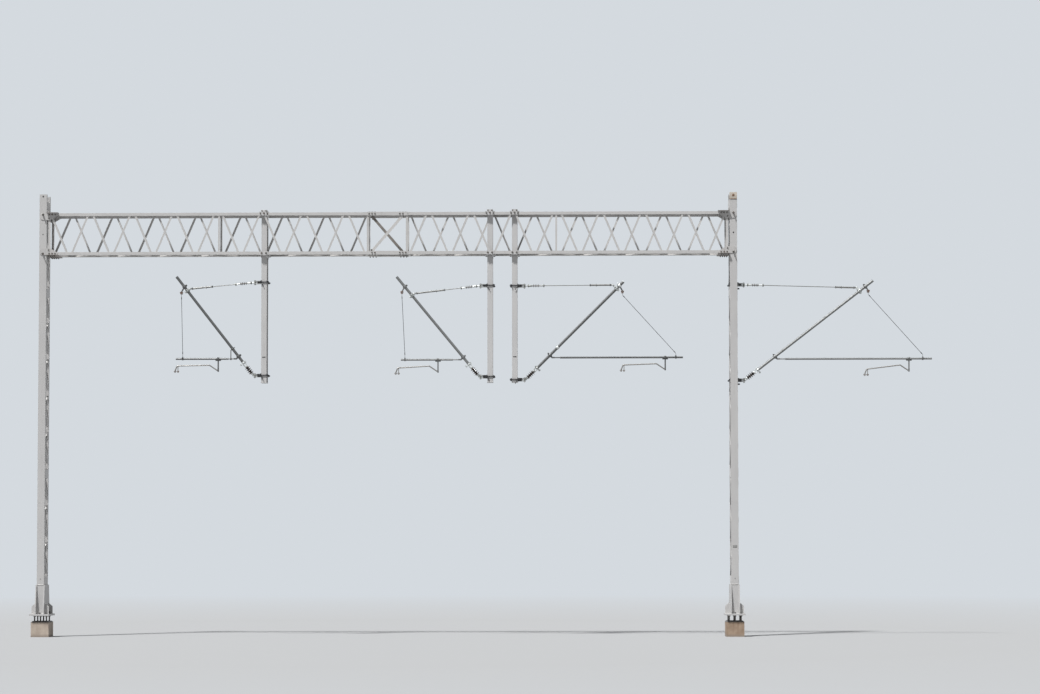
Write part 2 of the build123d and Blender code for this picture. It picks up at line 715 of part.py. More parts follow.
    def stays(self):
        """The tie rod with its turnbuckle, and the wire that holds up the registration tube."""
        c, s = cos(self.tie_angle), sin(self.tie_angle)
        pin_z = upper_pin_z[self.k]
        start = (tie_start_reach, pin_z + (tie_start_reach - hinge_offset) * s)
        near = (start[0] + (tie_insulator_length + seat_gap) * c,
                start[1] + (tie_insulator_length + seat_gap) * s)
        tie = fork(self.tie_eye, self.tie_angle + radians(180), turnbuckle_length[self.k],
                   turnbuckle_diameter)
        back = fork_length + turnbuckle_length[self.k]
        far = (self.tie_eye[0] - back * c, self.tie_eye[1] - back * s)
        tie += rod((near[0], 0, near[1]), (far[0], 0, far[1]), tie_rod_diameter / 2)
        top = messenger_z - saddle_height / 2
        low = registration_z[self.k] + stay_lug_height
        x0, x1 = messenger_reach[self.k], stay_reach[self.k]
        path = FilletPolyline((x0, 0, top), (x0, 0, top - stay_end), (x1, 0, low + stay_end),
                              (x1, 0, low), radius=stay_bend_radius)
        section = Plane(origin=(x0, 0, top), z_dir=(0, 0, -1)) * Circle(stay_diameter / 2)
        return [tie, sweep(section, path=path)]

    def registration(self):
        """Registration tube with its fork, its stay clamp and the drop bracket."""
        z = registration_z[self.k]
        eye = self.registration_eye
        shape = fork(eye, 0, registration_rod_length, registration_rod)
        start = eye[0] + fork_length + registration_rod_length
        reach = registration_reach[self.k]
        shape += rod((start, 0, z), (reach, 0, z), registration_diameter / 2)
        clamp = registration_diameter / 2 + clamp_wall
        for x, length in ((stay_reach[self.k], clamp_length / 2), (drop_reach[self.k], clamp_length)):
            shape += rod((x - length / 2, 0, z), (x + length / 2, 0, z), clamp)
        x, half = stay_reach[self.k], clamp_length / 4
        shape += block(x - half, x + half, -half, half, z, z + stay_lug_height)
        x, low = self.pivot
        bridge = low + pivot_room
        half = drop_bar_width / 2
        shape += block(x - half, x + half, -drop_bar_thickness / 2, drop_bar_thickness / 2,
                       bridge, z - registration_diameter / 2)
        inner = arm_eye_width / 2 + fork_gap
        outer = inner + fork_thickness
        shape += block(x - half, x + half, -outer, outer, bridge, bridge + fork_thickness * 2)
        for way in (-1, 1):
            shape += block(x - half, x + half, way * inner, way * outer, low - half, bridge)
        shape += cross_rod(x, low, -outer - 4, outer + 4, fork_pin_diameter / 2)
        hollow = rod((start + 10, 0, z), (reach + 1, 0, z), registration_diameter / 2 - registration_wall)
        return shape - hollow

    def steady_arm(self):
        """The bent steady arm with its pivot eye and its two contact wire clamps."""
        way = arm_side[self.k]
        x, z = self.pivot
        wire_z = contact_z[self.k]
        knee = (x + way * arm_knee_reach, 0, z + arm_knee_rise)
        end = (arm_reach[self.k], 0, wire_z + arm_end_rise)
        tip = (end[0] + way * arm_tip_reach, 0, wire_z + wire_clamp_height / 2)
        path = FilletPolyline((x, 0, z), knee, end, tip, radius=arm_bend_radius)
        section = Plane(origin=(x, 0, z), z_dir=path % 0) * Circle(arm_diameter / 2)
        arm = sweep(section, path=path)
        arm += cross_rod(x, z, -arm_eye_width / 2, arm_eye_width / 2, arm_eye_radius)
        second = end[0] - way * second_clamp_back
        slope = (end[2] - knee[2]) / (end[0] - knee[0])
        half, deep = clamp_leg_width / 2, clamp_leg_depth / 2
        arm += block(second - half, second + half, -deep, deep, wire_z + wire_clamp_height / 2,
                     end[2] - way * second_clamp_back * slope)
        for centre in (tip[0], second):
            arm += block(centre - wire_clamp_width / 2, centre + wire_clamp_width / 2,
                         -wire_clamp_length / 2, wire_clamp_length / 2,
                         wire_z - wire_clamp_height / 2, wire_z + wire_clamp_height / 2)
            arm -= cross_rod(centre, wire_z, -wire_clamp_length, wire_clamp_length, wire_radius)
        room = arm_eye_width / 2
        for side in (-1, 1):
            arm -= block(x - arm_eye_radius - 6, x + arm_eye_radius + 6, side * room,
                         side * (room + 10), z - arm_eye_radius - 6, z + pivot_room)
        bore = fork_pin_diameter / 2 + hinge_clearance
        return arm - cross_rod(x, z, -arm_eye_width, arm_eye_width, bore)


def build_mast(side, x):
    """Write one mast with its foot, its anchor bolts and its joint to the beam."""
    place = Pos(x, 0, 0)
    inward = Plane.YZ if side == "right" else None
    keep(f"{side}_foundation", [place * foundation()])
    keep(f"{side}_anchor_bolts", [place * anchor_bolt(*p) for p in anchor_places()])
    keep(f"{side}_mast_base", [place * mast_base()])
    keep(f"{side}_mast_channels", [place * channel(-1), place * channel(1)])
    keep(f"{side}_mast_lacing", [place * mast_lacing(-1), place * mast_lacing(1)])
    joint = [mirror(s, inward) if inward else s for s in beam_joint()]
    keep(f"{side}_beam_joint", [place * s for s in joint])
    keep(f"{side}_clamp_rods", [place * clamp_rod(z) for z in (lower_rod_z, upper_rod_z)])


def build_beam():
    """Write the beam's two halves and the splice between them."""
    centre = Plane.YZ.offset(middle)
    keep("left_beam_front", [beam_side(True, 1)])
    keep("left_beam_back", [beam_side(False, 1)])
    keep("right_beam_front", [mirror(beam_side(True, -1), centre)])
    keep("right_beam_back", [mirror(beam_side(False, -1), centre)])
    left_posts = [x for x in drop_post_x if x < middle]
    right_posts = [span - x for x in drop_post_x if x >= middle]
    keep("left_beam_lacing", [beam_lacing(up, left_posts) for up in (True, False)])
    keep("right_beam_lacing", [mirror(beam_lacing(up, right_posts), centre) for up in (True, False)])
    angles = [splice_angle(True), splice_angle(False)]
    keep("splice_angles", angles + [mirror(a, Plane.XZ) for a in angles])
    keep("splice_braces", [centre_brace(True), centre_brace(False)])


def build_posts():
    """Write the drop posts and the cross angles that hold them in the beam."""
    for k, x in enumerate(drop_post_x, 1):
        keep(f"drop_post_{k}", [Pos(x, 0, 0) * drop_post()])
        keep(f"drop_post_{k}_brackets", [Pos(x, 0, 0) * s for s in post_brackets()])


def build_cantilever(k):
    """Write the sub-parts of one cantilever."""
    unit = Cantilever(k)
    name = f"cantilever_{k + 1}"
    keep(f"{name}_brackets", [unit.placed(s) for s in unit.brackets()])
    keep(f"{name}_insulators", [unit.placed(s) for s in unit.insulators()])
    keep(f"{name}_strut", [unit.placed(unit.strut())])
    keep(f"{name}_stays", [unit.placed(s) for s in unit.stays()])
    keep(f"{name}_registration_tube", [unit.placed(unit.registration())])
    keep(f"{name}_steady_arm", [unit.placed(unit.steady_arm())])
    face, side = cantilever_face[k], cantilever_side[k]
    print(name, "hinge at X", face + side * hinge_offset, "heights", lower_pin_z[k], upper_pin_z[k])
    print("  arm pivot at X", face + side * unit.pivot[0], "Z", unit.pivot[1])


build_mast("left", 0.0)
build_mast("right", span)
build_beam()
build_posts()
for number in range(len(cantilever_face)):
    build_cantilever(number)
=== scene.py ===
import bpy, bmesh, random
from math import cos, pi, radians, sin
from mathutils import Matrix, Vector


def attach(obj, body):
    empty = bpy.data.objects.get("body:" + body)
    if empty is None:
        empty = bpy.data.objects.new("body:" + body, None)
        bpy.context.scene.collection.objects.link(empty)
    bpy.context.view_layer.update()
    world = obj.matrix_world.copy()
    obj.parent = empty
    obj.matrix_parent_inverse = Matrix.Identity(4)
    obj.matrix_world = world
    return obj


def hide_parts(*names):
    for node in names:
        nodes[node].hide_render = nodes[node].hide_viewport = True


# The whole portal: two laced masts, a box lattice beam between their heads, three drop
# posts and four cantilevers. Its steel comes in as the fixed frame, and what follows is
# added to it or gives it its finish.
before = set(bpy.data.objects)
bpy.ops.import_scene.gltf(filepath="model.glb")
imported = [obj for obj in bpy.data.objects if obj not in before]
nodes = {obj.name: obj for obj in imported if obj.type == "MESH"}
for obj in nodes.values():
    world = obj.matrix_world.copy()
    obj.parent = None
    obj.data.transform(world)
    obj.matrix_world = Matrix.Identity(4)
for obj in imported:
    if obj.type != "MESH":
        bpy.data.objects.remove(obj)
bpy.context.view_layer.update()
scene = bpy.context.scene
scene.view_settings.view_transform = "Standard"

# The camera stands well back on the near side, a little right of the middle and at eye
# level, and looks slightly up and to the left. Its lens is set for a picture of 1040 by 694 points.
picture_width, focal_points, centre_drop = 1040, 2225, 124.6
viewpoint = Vector((11.258, -48.956, 1.660))
turn, tilt, roll = radians(0.845), radians(2.298), radians(-0.059)
camera = bpy.data.objects.new("viewer", bpy.data.cameras.new("viewer"))
scene.collection.objects.link(camera)
scene.camera = camera
camera.matrix_world = (Matrix.Translation(viewpoint) @ Matrix.Rotation(turn, 4, "Z")
                       @ Matrix.Rotation(pi / 2 + tilt, 4, "X") @ Matrix.Rotation(roll, 4, "Z"))
camera.data.sensor_width = 36
camera.data.lens = focal_points / picture_width * camera.data.sensor_width
camera.data.shift_y = centre_drop / picture_width
camera.data.clip_end = 500

# The studio: a pale matt floor that fades into the pale surroundings, an even glow from
# all sides, one broad lamp from the upper left in front and a weak one from the right.
floor_middle, floor_radius = (7.6, 0, 0), 180
fade_start, fade_end = 14.0, 60.0
pale = (0.66, 0.70, 0.74, 1)
crease = radians(32)


def feed(tree, node, inputs):
    """Set a node's inputs, each to a value or to what another node puts out."""
    for key, value in inputs.items():
        if isinstance(value, bpy.types.NodeSocket):
            tree.links.new(value, node.inputs[key])
        else:
            node.inputs[key].default_value = value


def add(tree, kind, inputs=None, **settings):
    """One new shader node with its settings and inputs."""
    node = tree.nodes.new("ShaderNode" + kind)
    for key, value in settings.items():
        setattr(node, key, value)
    feed(tree, node, inputs or {})
    return node


def calc(tree, operation, *values, clamp=False):
    """What one operation makes of one, two or three values."""
    return add(tree, "Math", dict(enumerate(values)), operation=operation, use_clamp=clamp).outputs[0]


def mask(tree, value, low, high):
    """A mask that rises from 0 where a value is low to 1 where it is high."""
    return add(tree, "MapRange", {"Value": value, "From Min": low, "From Max": high}).outputs[0]


def new_material(name):
    """A new material, its node tree, its shader and the place on the piece in metres."""
    material = bpy.data.materials.new(name)
    material.use_nodes = True
    tree = material.node_tree
    place = add(tree, "TexCoord").outputs["Object"]
    return material, tree, tree.nodes["Principled BSDF"], place


def place_mesh(name, mesh, material, body="root"):
    """Put a finished mesh into the scene as a piece: round faces smooth, edges crisp."""
    data = bpy.data.meshes.new(name)
    mesh.to_mesh(data)
    mesh.free()
    data.materials.append(material)
    for face in data.polygons:
        face.use_smooth = True
    data.set_sharp_from_angle(angle=crease)
    piece = bpy.data.objects.new(name, data)
    scene.collection.objects.link(piece)
    if body:
        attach(piece, body)
    return piece


ground = bmesh.new()
bmesh.ops.create_circle(ground, cap_ends=True, radius=floor_radius, segments=96)
bmesh.ops.translate(ground, verts=ground.verts, vec=floor_middle)
floor_finish, tree, shader, place = new_material("pale_floor")
feed(tree, shader, {"Base Color": (0.325, 0.3285, 0.332, 1), "Roughness": 0.9})
far = add(tree, "VectorMath", {0: place, 1: floor_middle}, operation="DISTANCE")
seen = add(tree, "LightPath").outputs["Is Camera Ray"]
fade = calc(tree, "MULTIPLY", mask(tree, far.outputs["Value"], fade_start, fade_end), seen)
glow = add(tree, "Emission", {"Color": pale}).outputs[0]
mix = add(tree, "MixShader", {0: fade, 1: shader.outputs[0], 2: glow})
tree.links.new(mix.outputs[0], tree.nodes["Material Output"].inputs["Surface"])
place_mesh("studio_floor", ground, floor_finish, body=None)

world = bpy.data.worlds.new("studio")
scene.world = world
world.use_nodes = True
tree = world.node_tree
seen = add(tree, "LightPath").outputs
direct = calc(tree, "MAXIMUM", seen["Is Camera Ray"], seen["Is Glossy Ray"])
lit = add(tree, "Background", {"Color": (0.96, 0.98, 1, 1), "Strength": 0.21}).outputs[0]
shown = add(tree, "Background", {"Color": pale, "Strength": 1.0}).outputs[0]
mix = add(tree, "MixShader", {0: direct, 1: lit, 2: shown})
tree.links.new(mix.outputs[0], tree.nodes["World Output"].inputs["Surface"])

for name, strength, aim, spread in (("main_lamp", 5.45, (-0.92, -1.0, 2.6), 5),
                                    ("fill_lamp", 0.10, (1.0, -0.7, 0.5), 40)):
    lamp = bpy.data.objects.new(name, bpy.data.lights.new(name, "SUN"))
    scene.collection.objects.link(lamp)
    lamp.data.energy = strength
    lamp.data.angle = radians(spread)
    lamp.rotation_euler = Vector(aim).to_track_quat("Z", "Y").to_euler()

# Foundation heads: cast concrete blocks with a bevelled top edge, warm grey, pitted and
# washed by rain. Rust from the anchor bolts runs down their faces in brown streaks.
foundation_top, damp_height = 0.350, 0.07
top_shade_start, top_shade_end = 0.310, 0.326


def new_group(name, inputs, outputs):
    """A shader effect with named inputs (name, kind, value) and outputs (name, kind)."""
    group = bpy.data.node_groups.new(name, "ShaderNodeTree")
    for label, kind, value in inputs:
        socket = group.interface.new_socket(label, in_out="INPUT", socket_type="NodeSocket" + kind)
        socket.default_value = value
    for label, kind in outputs:
        group.interface.new_socket(label, in_out="OUTPUT", socket_type="NodeSocket" + kind)
    return group, group.nodes.new("NodeGroupInput").outputs, group.nodes.new("NodeGroupOutput")


def use_group(tree, group, **values):
    """What a group puts out when it is placed in a material with its own values."""
    return add(tree, "Group", values, node_tree=group).outputs


def mixed(tree, amount, first, second):
    """One colour laid over another by a mask."""
    return add(tree, "Mix", {0: amount, 6: first, 7: second}, data_type="RGBA").outputs[2]


def noise(tree, place, scale, detail):
    """Soft noise with about as many waves to the metre as its scale."""
    return add(tree, "TexNoise", {"Vector": place, "Scale": scale, "Detail": detail}).outputs[0]


def parts(tree, vector):
    """The x, y and z of a place or a direction."""
    return add(tree, "SeparateXYZ", {0: vector}).outputs


def raised(tree, height, strength, depth):
    """A surface roughened by a height."""
    return add(tree, "Bump", {"Height": height, "Strength": strength, "Distance": depth}).outputs[0]


# Rain streaks: long thin stains that run straight down, broken up along their length
streaks, given, out = new_group(
    "rain_streaks", [("Place", "Vector", (0, 0, 0)), ("Fineness", "Float", 30.0), ("Seed", "Float", 0.0)],
    [("Mask", "Float")])
shift = add(streaks, "CombineXYZ", {0: given["Seed"], 1: given["Seed"]}).outputs[0]
spot = add(streaks, "VectorMath", {0: given["Place"], 1: shift}, operation="ADD").outputs[0]
drawn_out = add(streaks, "Mapping", {"Vector": spot, "Scale": (1, 1, 0.045)}).outputs[0]
stains = mask(streaks, noise(streaks, drawn_out, given["Fineness"], 5.0), 0.50, 0.72)
breaks = mask(streaks, noise(streaks, spot, 2.3, 3.0), 0.38, 0.62)
feed(streaks, out, {"Mask": calc(streaks, "MULTIPLY", stains, breaks)})


def cast_concrete(name, dark, light, stain, seed):
    """Board-cast concrete: mottled, pitted and stained by rust, with painted shade along the top."""
    material, tree, shader, place = new_material(name)
    level = parts(tree, place)[2]
    mottled = mixed(tree, mask(tree, noise(tree, place, 6.0, 8.0), 0.35, 0.68), dark, light)
    pits = add(tree, "TexVoronoi", {"Vector": place, "Scale": 85.0}).outputs["Distance"]
    pitted = mixed(tree, mask(tree, pits, 0.16, 0.05), mottled, (0.19, 0.15, 0.12, 1))
    run = use_group(tree, streaks, Place=place, Fineness=16.0, Seed=seed)["Mask"]
    rusty = calc(tree, "MULTIPLY", run, mask(tree, level, 0.02, foundation_top - 0.01))
    stained = mixed(tree, calc(tree, "MULTIPLY", rusty, stain, clamp=True), pitted, (0.15, 0.075, 0.04, 1))
    damp = mixed(tree, mask(tree, level, damp_height, 0.0), stained, (0.24, 0.20, 0.165, 1))
    grain = noise(tree, place, 160.0, 6.0)
    # Painted shade: the bevelled top edge and the top are coloured dark, where the base plate shades them
    feed(tree, shader, {
        "Base Color": mixed(tree, mask(tree, level, top_shade_start, top_shade_end), damp, (0.105, 0.095, 0.09, 1)),
        "Roughness": mask(tree, grain, -1.2, 1.2), "Normal": raised(tree, grain, 0.35, 0.002)})
    return material


def finish_nodes(material, *names):
    """Give the frame's own parts a finish in all their slots."""
    for name in names:
        for slot in nodes[name].material_slots:
            slot.material = material


for side, dark, light, stain, seed in (
        ("left", (0.34, 0.28, 0.23, 1), (0.47, 0.40, 0.33, 1), 0.5, 3.1),
        ("right", (0.25, 0.175, 0.12, 1), (0.37, 0.275, 0.20, 1), 1.6, 5.6)):
    finish_nodes(cast_concrete(f"{side}_concrete", dark, light, stain, seed), f"{side}_foundation")

# Masts and beam: rolled channels, angles and flat bar, welded up, then painted a light
# warm grey. The film has chalked, is streaked by rain and shows rust specks at the edges.
paint_film, given, out = new_group(
    "weathered_paint",
    [("Place", "Vector", (0, 0, 0)), ("Tint", "Color", (0.5, 0.5, 0.5, 1)), ("Streak", "Float", 0.5),
     ("Dust", "Float", 0.3), ("Rust", "Float", 0.2), ("Seed", "Float", 0.0)],
    [("Color", "Color"), ("Wear", "Float"), ("Height", "Float")])
tree, place, tint = paint_film, given["Place"], given["Tint"]
faded = mixed(tree, 0.18, tint, (0.62, 0.61, 0.59, 1))
base = mixed(tree, mask(tree, noise(tree, place, 1.7, 5.0), 0.3, 0.7), tint, faded)
fine, broad = (use_group(tree, streaks, Place=place, Fineness=fineness, Seed=given["Seed"])["Mask"]
               for fineness in (34.0, 11.0))
dirt = calc(tree, "MULTIPLY", calc(tree, "MAXIMUM", fine, broad), given["Streak"])
streaked = mixed(tree, dirt, base, (0.27, 0.255, 0.235, 1))
level_faces = mask(tree, parts(tree, add(tree, "NewGeometry").outputs["Normal"])[2], 0.35, 0.95)
dusty = mixed(tree, calc(tree, "MULTIPLY", level_faces, given["Dust"]), streaked, (0.50, 0.47, 0.42, 1))
specks = mask(tree, noise(tree, place, 42.0, 7.0), 0.70, 0.78)
patches = mask(tree, noise(tree, place, 3.1, 4.0), 0.48, 0.66)
rust = calc(tree, "MULTIPLY", calc(tree, "MULTIPLY", specks, patches), given["Rust"], clamp=True)
feed(tree, out, {"Color": mixed(tree, rust, dusty, (0.22, 0.10, 0.05, 1)),
                 "Wear": calc(tree, "MAXIMUM", dirt, rust), "Height": noise(tree, place, 240.0, 3.0)})


def ranged(tree, value, low, high):
    """A value from 0 to 1 spread between two others."""
    return add(tree, "MapRange", {"Value": value, "To Min": low, "To Max": high}).outputs[0]


def grey_paint(name, tint, streak, dust, rust, seed):
    """One batch of the grey paint with its own share of streaks, dust and rust."""
    material, tree, shader, place = new_material(name)
    film = use_group(tree, paint_film, Place=place, Tint=tint, Streak=streak, Dust=dust, Rust=rust,
                     Seed=seed)
    feed(tree, shader, {"Base Color": film["Color"], "Roughness": ranged(tree, film["Wear"], 0.48, 0.85),
                        "Normal": raised(tree, film["Height"], 0.25, 0.001)})
    return material


def second_coat(material, edges, dark, light, grain=20.0, laid=False):
    """Other colours over part of a material, past each of some edges (axis, none, full)."""
    tree = material.node_tree
    shader = tree.nodes["Principled BSDF"]
    first = shader.inputs["Base Color"].links[0].from_socket
    place = add(tree, "TexCoord").outputs["Object"]
    cover = 0.0
    for axis, none, full in edges:
        cover = calc(tree, "MAXIMUM", cover, mask(tree, parts(tree, place)[axis], none, full))
    if laid:
        pattern = add(tree, "TexWave", {"Vector": place, "Scale": grain, "Distortion": 1.0},
                      bands_direction="DIAGONAL").outputs[1]
    else:
        pattern = mask(tree, noise(tree, place, grain, 6.0), 0.35, 0.65)
    feed(tree, shader, {"Base Color": mixed(tree, cover, first, mixed(tree, pattern, dark, light))})


mast_paint = grey_paint("mast_paint", (0.455, 0.448, 0.445, 1), streak=0.16, dust=0.3, rust=0.4, seed=1.7)
lacing_paint = grey_paint("lacing_paint", (0.53, 0.52, 0.515, 1), streak=0.2, dust=0.45, rust=0.6, seed=4.2)
beam_paint = grey_paint("beam_paint", (0.475, 0.468, 0.462, 1), streak=0.2, dust=0.55, rust=0.35, seed=7.9)
bar_paint = grey_paint("bar_paint", (0.53, 0.52, 0.51, 1), streak=0.2, dust=0.5, rust=0.3, seed=8.8)
for side in ("left", "right"):
    finish_nodes(mast_paint, f"{side}_mast_channels", f"{side}_mast_base")
    finish_nodes(lacing_paint, f"{side}_mast_lacing")
    finish_nodes(beam_paint, f"{side}_beam_front", f"{side}_beam_back")
    finish_nodes(bar_paint, f"{side}_beam_lacing")
finish_nodes(beam_paint, "splice_angles")

# Splice braces: one angle in front and one behind, each bolted across the splice from
# corner to corner. The front one is painted like the beam, and the back one is coloured dark,
# a painted shade for its shaded face.
brace_paint = grey_paint("brace_paint", (0.50, 0.49, 0.48, 1), streak=0.2, dust=0.5, rust=0.3, seed=6.1)
# Painted shade: behind the middle (y above 0) the brace is coloured dark brown-grey
second_coat(brace_paint, [(1, -0.01, 0.01)], (0.19, 0.175, 0.16, 1), (0.25, 0.23, 0.21, 1))
finish_nodes(brace_paint, "splice_braces")

# Anchor bolts and clamping rods: threaded steel rods with hexagon nuts on round washers,
# hot-dip galvanised. The zinc has gone dull and mottled, and brown where water stands on
# the threads.
span = 15.240
masts = {"left": 0.0, "right": span}
anchor_x, anchor_y, anchor_radius = (-0.130, 0, 0.130), (-0.145, 0.145), 0.0152
plate_bottom, plate_top = 0.467, 0.507
nut_height, anchor_end = 0.026, 0.563
rod_levels, rod_radius = (8.4525, 9.3175), 0.0122
rod_face, rod_end, rod_washer = 0.200, 0.270, 0.020
thread_pitch, thread_depth = 0.0035, 0.0009
upward, crossways = (0, 0, 1), (0, 1, 0)

spangle, given, out = new_group(
    "zinc_spangle",
    [("Place", "Vector", (0, 0, 0)), ("Light", "Color", (0.5, 0.5, 0.5, 1)),
     ("Dark", "Color", (0.3, 0.3, 0.3, 1)), ("Rust", "Float", 0.3), ("Scale", "Float", 1.0)],
    [("Color", "Color"), ("Wear", "Float")])
tree, dark = spangle, given["Dark"]
place = add(tree, "VectorMath", {0: given["Place"], "Scale": given["Scale"]}, operation="SCALE").outputs[0]
cells = add(tree, "TexVoronoi", {"Vector": place, "Scale": 120.0}).outputs["Color"]
crystals = mixed(tree, add(tree, "SeparateColor", {0: cells}).outputs[0], given["Light"], dark)
dulled = mixed(tree, mask(tree, noise(tree, place, 9.0, 6.0), 0.42, 0.62), crystals, dark)
spread = mask(tree, noise(tree, place, 26.0, 7.0), 0.60, 0.72)
rust = calc(tree, "MULTIPLY", spread, given["Rust"])
feed(tree, out, {"Color": mixed(tree, rust, dulled, (0.20, 0.09, 0.045, 1)), "Wear": spread})


def zinc_coat(name, light, dark, rust=0.3, roughness=0.5, metal=0.75, scale=1.0):
    """Hot-dip zinc with its crystal pattern, dulled, with rust in patches."""
    material, tree, shader, place = new_material(name)
    coat = use_group(tree, spangle, Place=place, Light=light, Dark=dark, Rust=rust, Scale=scale)
    feed(tree, shader, {"Base Color": coat["Color"], "Metallic": metal,
                        "Roughness": ranged(tree, coat["Wear"], roughness, 0.9),
                        "Normal": raised(tree, coat["Wear"], 0.2, 0.0006)})
    return material


def turned(mesh, profile, start, along, sides=16, spin=0.0):
    """A turned or hexagonal form: (radius, distance) pairs swept round an axis."""
    turn_to = Vector(along).normalized().to_track_quat("Z", "Y")
    rings = []
    for radius, distance in profile:
        rings.append([])
        for k in range(sides if radius else 1):
            angle = spin + 2 * pi * k / sides
            point = Vector((radius * cos(angle), radius * sin(angle), distance))
            rings[-1].append(mesh.verts.new(Vector(start) + turn_to @ point))
    for a, b in zip(rings, rings[1:]):
        for k in range(sides):
            after = (k + 1) % sides
            quad = [a[k % len(a)], a[after % len(a)], b[after % len(b)], b[k % len(b)]]
            corners = list(dict.fromkeys(quad))
            if len(corners) > 2:
                mesh.faces.new(corners)
    if len(rings[0]) > 1:
        mesh.faces.new(list(reversed(rings[0])))
    if len(rings[-1]) > 1:
        mesh.faces.new(rings[-1])


def nut(mesh, at, along, across, height, washer=True):
    """A hexagon nut or bolt head with bevelled corners, on its round washer."""
    thick = 0.12 * across if washer else 0.0
    if washer:
        turned(mesh, [(0.92 * across, 0), (0.95 * across, 0.3 * thick), (0.95 * across, 0.7 * thick),
                      (0.90 * across, thick)], at, along, 24)
    corner = across / 3 ** 0.5
    turned(mesh, [(0.93 * corner, thick), (corner, thick + 0.08 * height), (corner, thick + 0.86 * height),
                  (0.87 * corner, thick + height)], at, along, 6, pi / 6)


def thread(mesh, start, along, length, radius):
    """The rolled thread on a bolt: sharp ridges a pitch apart."""
    profile = [(radius, 0.0)]
    for k in range(int(length / thread_pitch)):
        profile += [(radius + thread_depth, (k + 0.5) * thread_pitch), (radius, (k + 1) * thread_pitch)]
    turned(mesh, profile, start, along, 14)


bolt_zinc = zinc_coat("bolt_zinc", (0.26, 0.25, 0.24, 1), (0.13, 0.12, 0.11, 1), rust=0.9, roughness=0.55)
for side, centre in masts.items():
    finish_nodes(bolt_zinc, f"{side}_anchor_bolts", f"{side}_clamp_rods")
    fixings = bmesh.new()
    for x in anchor_x:
        for y in anchor_y:
            thread(fixings, (centre + x, y, foundation_top), upward,
                   plate_bottom - nut_height - foundation_top, anchor_radius)
            thread(fixings, (centre + x, y, plate_top + nut_height), upward,
                   anchor_end - plate_top - nut_height, anchor_radius)
            for face, way in ((plate_top, 1), (plate_bottom, -1)):
                turned(fixings, [(0.0295, 0), (0.0305, 0.001), (0.0305, 0.0045), (0.029, 0.005)],
                       (centre + x, y, face), (0, 0, way), 28)
            # A low collar round the bolt's foot
            turned(fixings, [(0.021, 0), (0.020, 0.006), (0.0155, 0.010)],
                   (centre + x, y, foundation_top), upward, 20)
    place_mesh(f"{side}_anchor_washers", fixings, bolt_zinc)
    clamps = bmesh.new()
    for z in rod_levels:
        for way in (-1, 1):
            turned(clamps, [(0.024, 0), (0.025, 0.001), (0.025, 0.0035), (0.024, 0.0045)],
                   (centre, way * rod_face, z), (0, way, 0), 28)
            thread(clamps, (centre, way * (rod_face + rod_washer), z), (0, way, 0),
                   rod_end - rod_face - rod_washer - 0.001, rod_radius)
            nut(clamps, (centre, way * (rod_face + rod_washer + 0.0005), z), (0, way, 0), 0.036, 0.012,
                washer=False)
    place_mesh(f"{side}_rod_washers", clamps, bolt_zinc)

# Weld beads: the masts' feet, battens and lacing bars are welded all round by hand, and
# the beads were painted over with the rest, so they show as narrow rippled fillets.
flange_out, web_out, web_half = 0.080, 0.190, 0.078
side_plate_out, side_plate_end, gusset_out, gusset_height = 0.101, 0.269, 0.190, 0.236
foot_top = 1.146
web_weld_start, gusset_thick = 0.020, 0.012
lacing_foot, lacing_step, lacing_nodes = 1.335, 0.405, 21
lacing_out, lacing_end, lacing_edge, lacing_weld = 0.0805, 0.1575, 0.030, 0.014


def bead(mesh, start, end, size, seed=0):
    """A weld fillet from one point to another, with the ripples of each pass."""
    start, end = Vector(start), Vector(end)
    length = (end - start).length
    steps = max(3, int(length / 0.012))
    ripple = random.Random(seed)
    profile = []
    for k in range(steps + 1):
        swell = 0.35 if k in (0, steps) else 0.85 + 0.3 * ripple.random()
        profile.append((size * swell, length * k / steps))
    turned(mesh, profile, start, end - start, 6)


weld_paint = grey_paint("weld_paint", (0.47, 0.46, 0.45, 1), streak=0.6, dust=0.4, rust=1.0, seed=9.3)
for side, centre in masts.items():
    welds = bmesh.new()
    for way in (-1, 1):
        bead(welds, (centre - web_half, way * web_out, foot_top),
             (centre + web_half, way * web_out, foot_top), 0.008, 16)
        plate_x, flange_x = centre + way * side_plate_out, centre + way * flange_out
        gusset_x = centre + way * gusset_out
        for out_way in (-1, 1):
            web_y = out_way * web_out
            bead(welds, (plate_x, 0, plate_top), (plate_x, out_way * side_plate_end, plate_top), 0.006, 1)
            bead(welds, (flange_x, web_y, plate_top + 0.02), (flange_x, web_y, foot_top - 0.001), 0.005, 2)
            bead(welds, (centre + way * web_weld_start, web_y, plate_top),
                 (centre + way * web_half, web_y, plate_top), 0.005, 3)
            for inset in (0, gusset_thick):
                y = out_way * (web_out - inset)
                bead(welds, (plate_x, y, plate_top), (gusset_x, y, plate_top), 0.005, 4)
                bead(welds, (plate_x, y, plate_top), (plate_x, y, plate_top + gusset_height), 0.005, 5)
        bead(welds, (flange_x, -web_out, foot_top), (flange_x, web_out, foot_top), 0.005, 6)
        for k in range(lacing_nodes):
            x, y = centre + way * lacing_out, way * (1 if k % 2 == 0 else -1) * lacing_end
            for edge in (-lacing_edge, lacing_edge):
                z = lacing_foot + k * lacing_step + edge
                bead(welds, (x, y, z - lacing_weld), (x, y, z + lacing_weld), 0.004, k)
    place_mesh(f"{side}_mast_welds", welds, weld_paint)
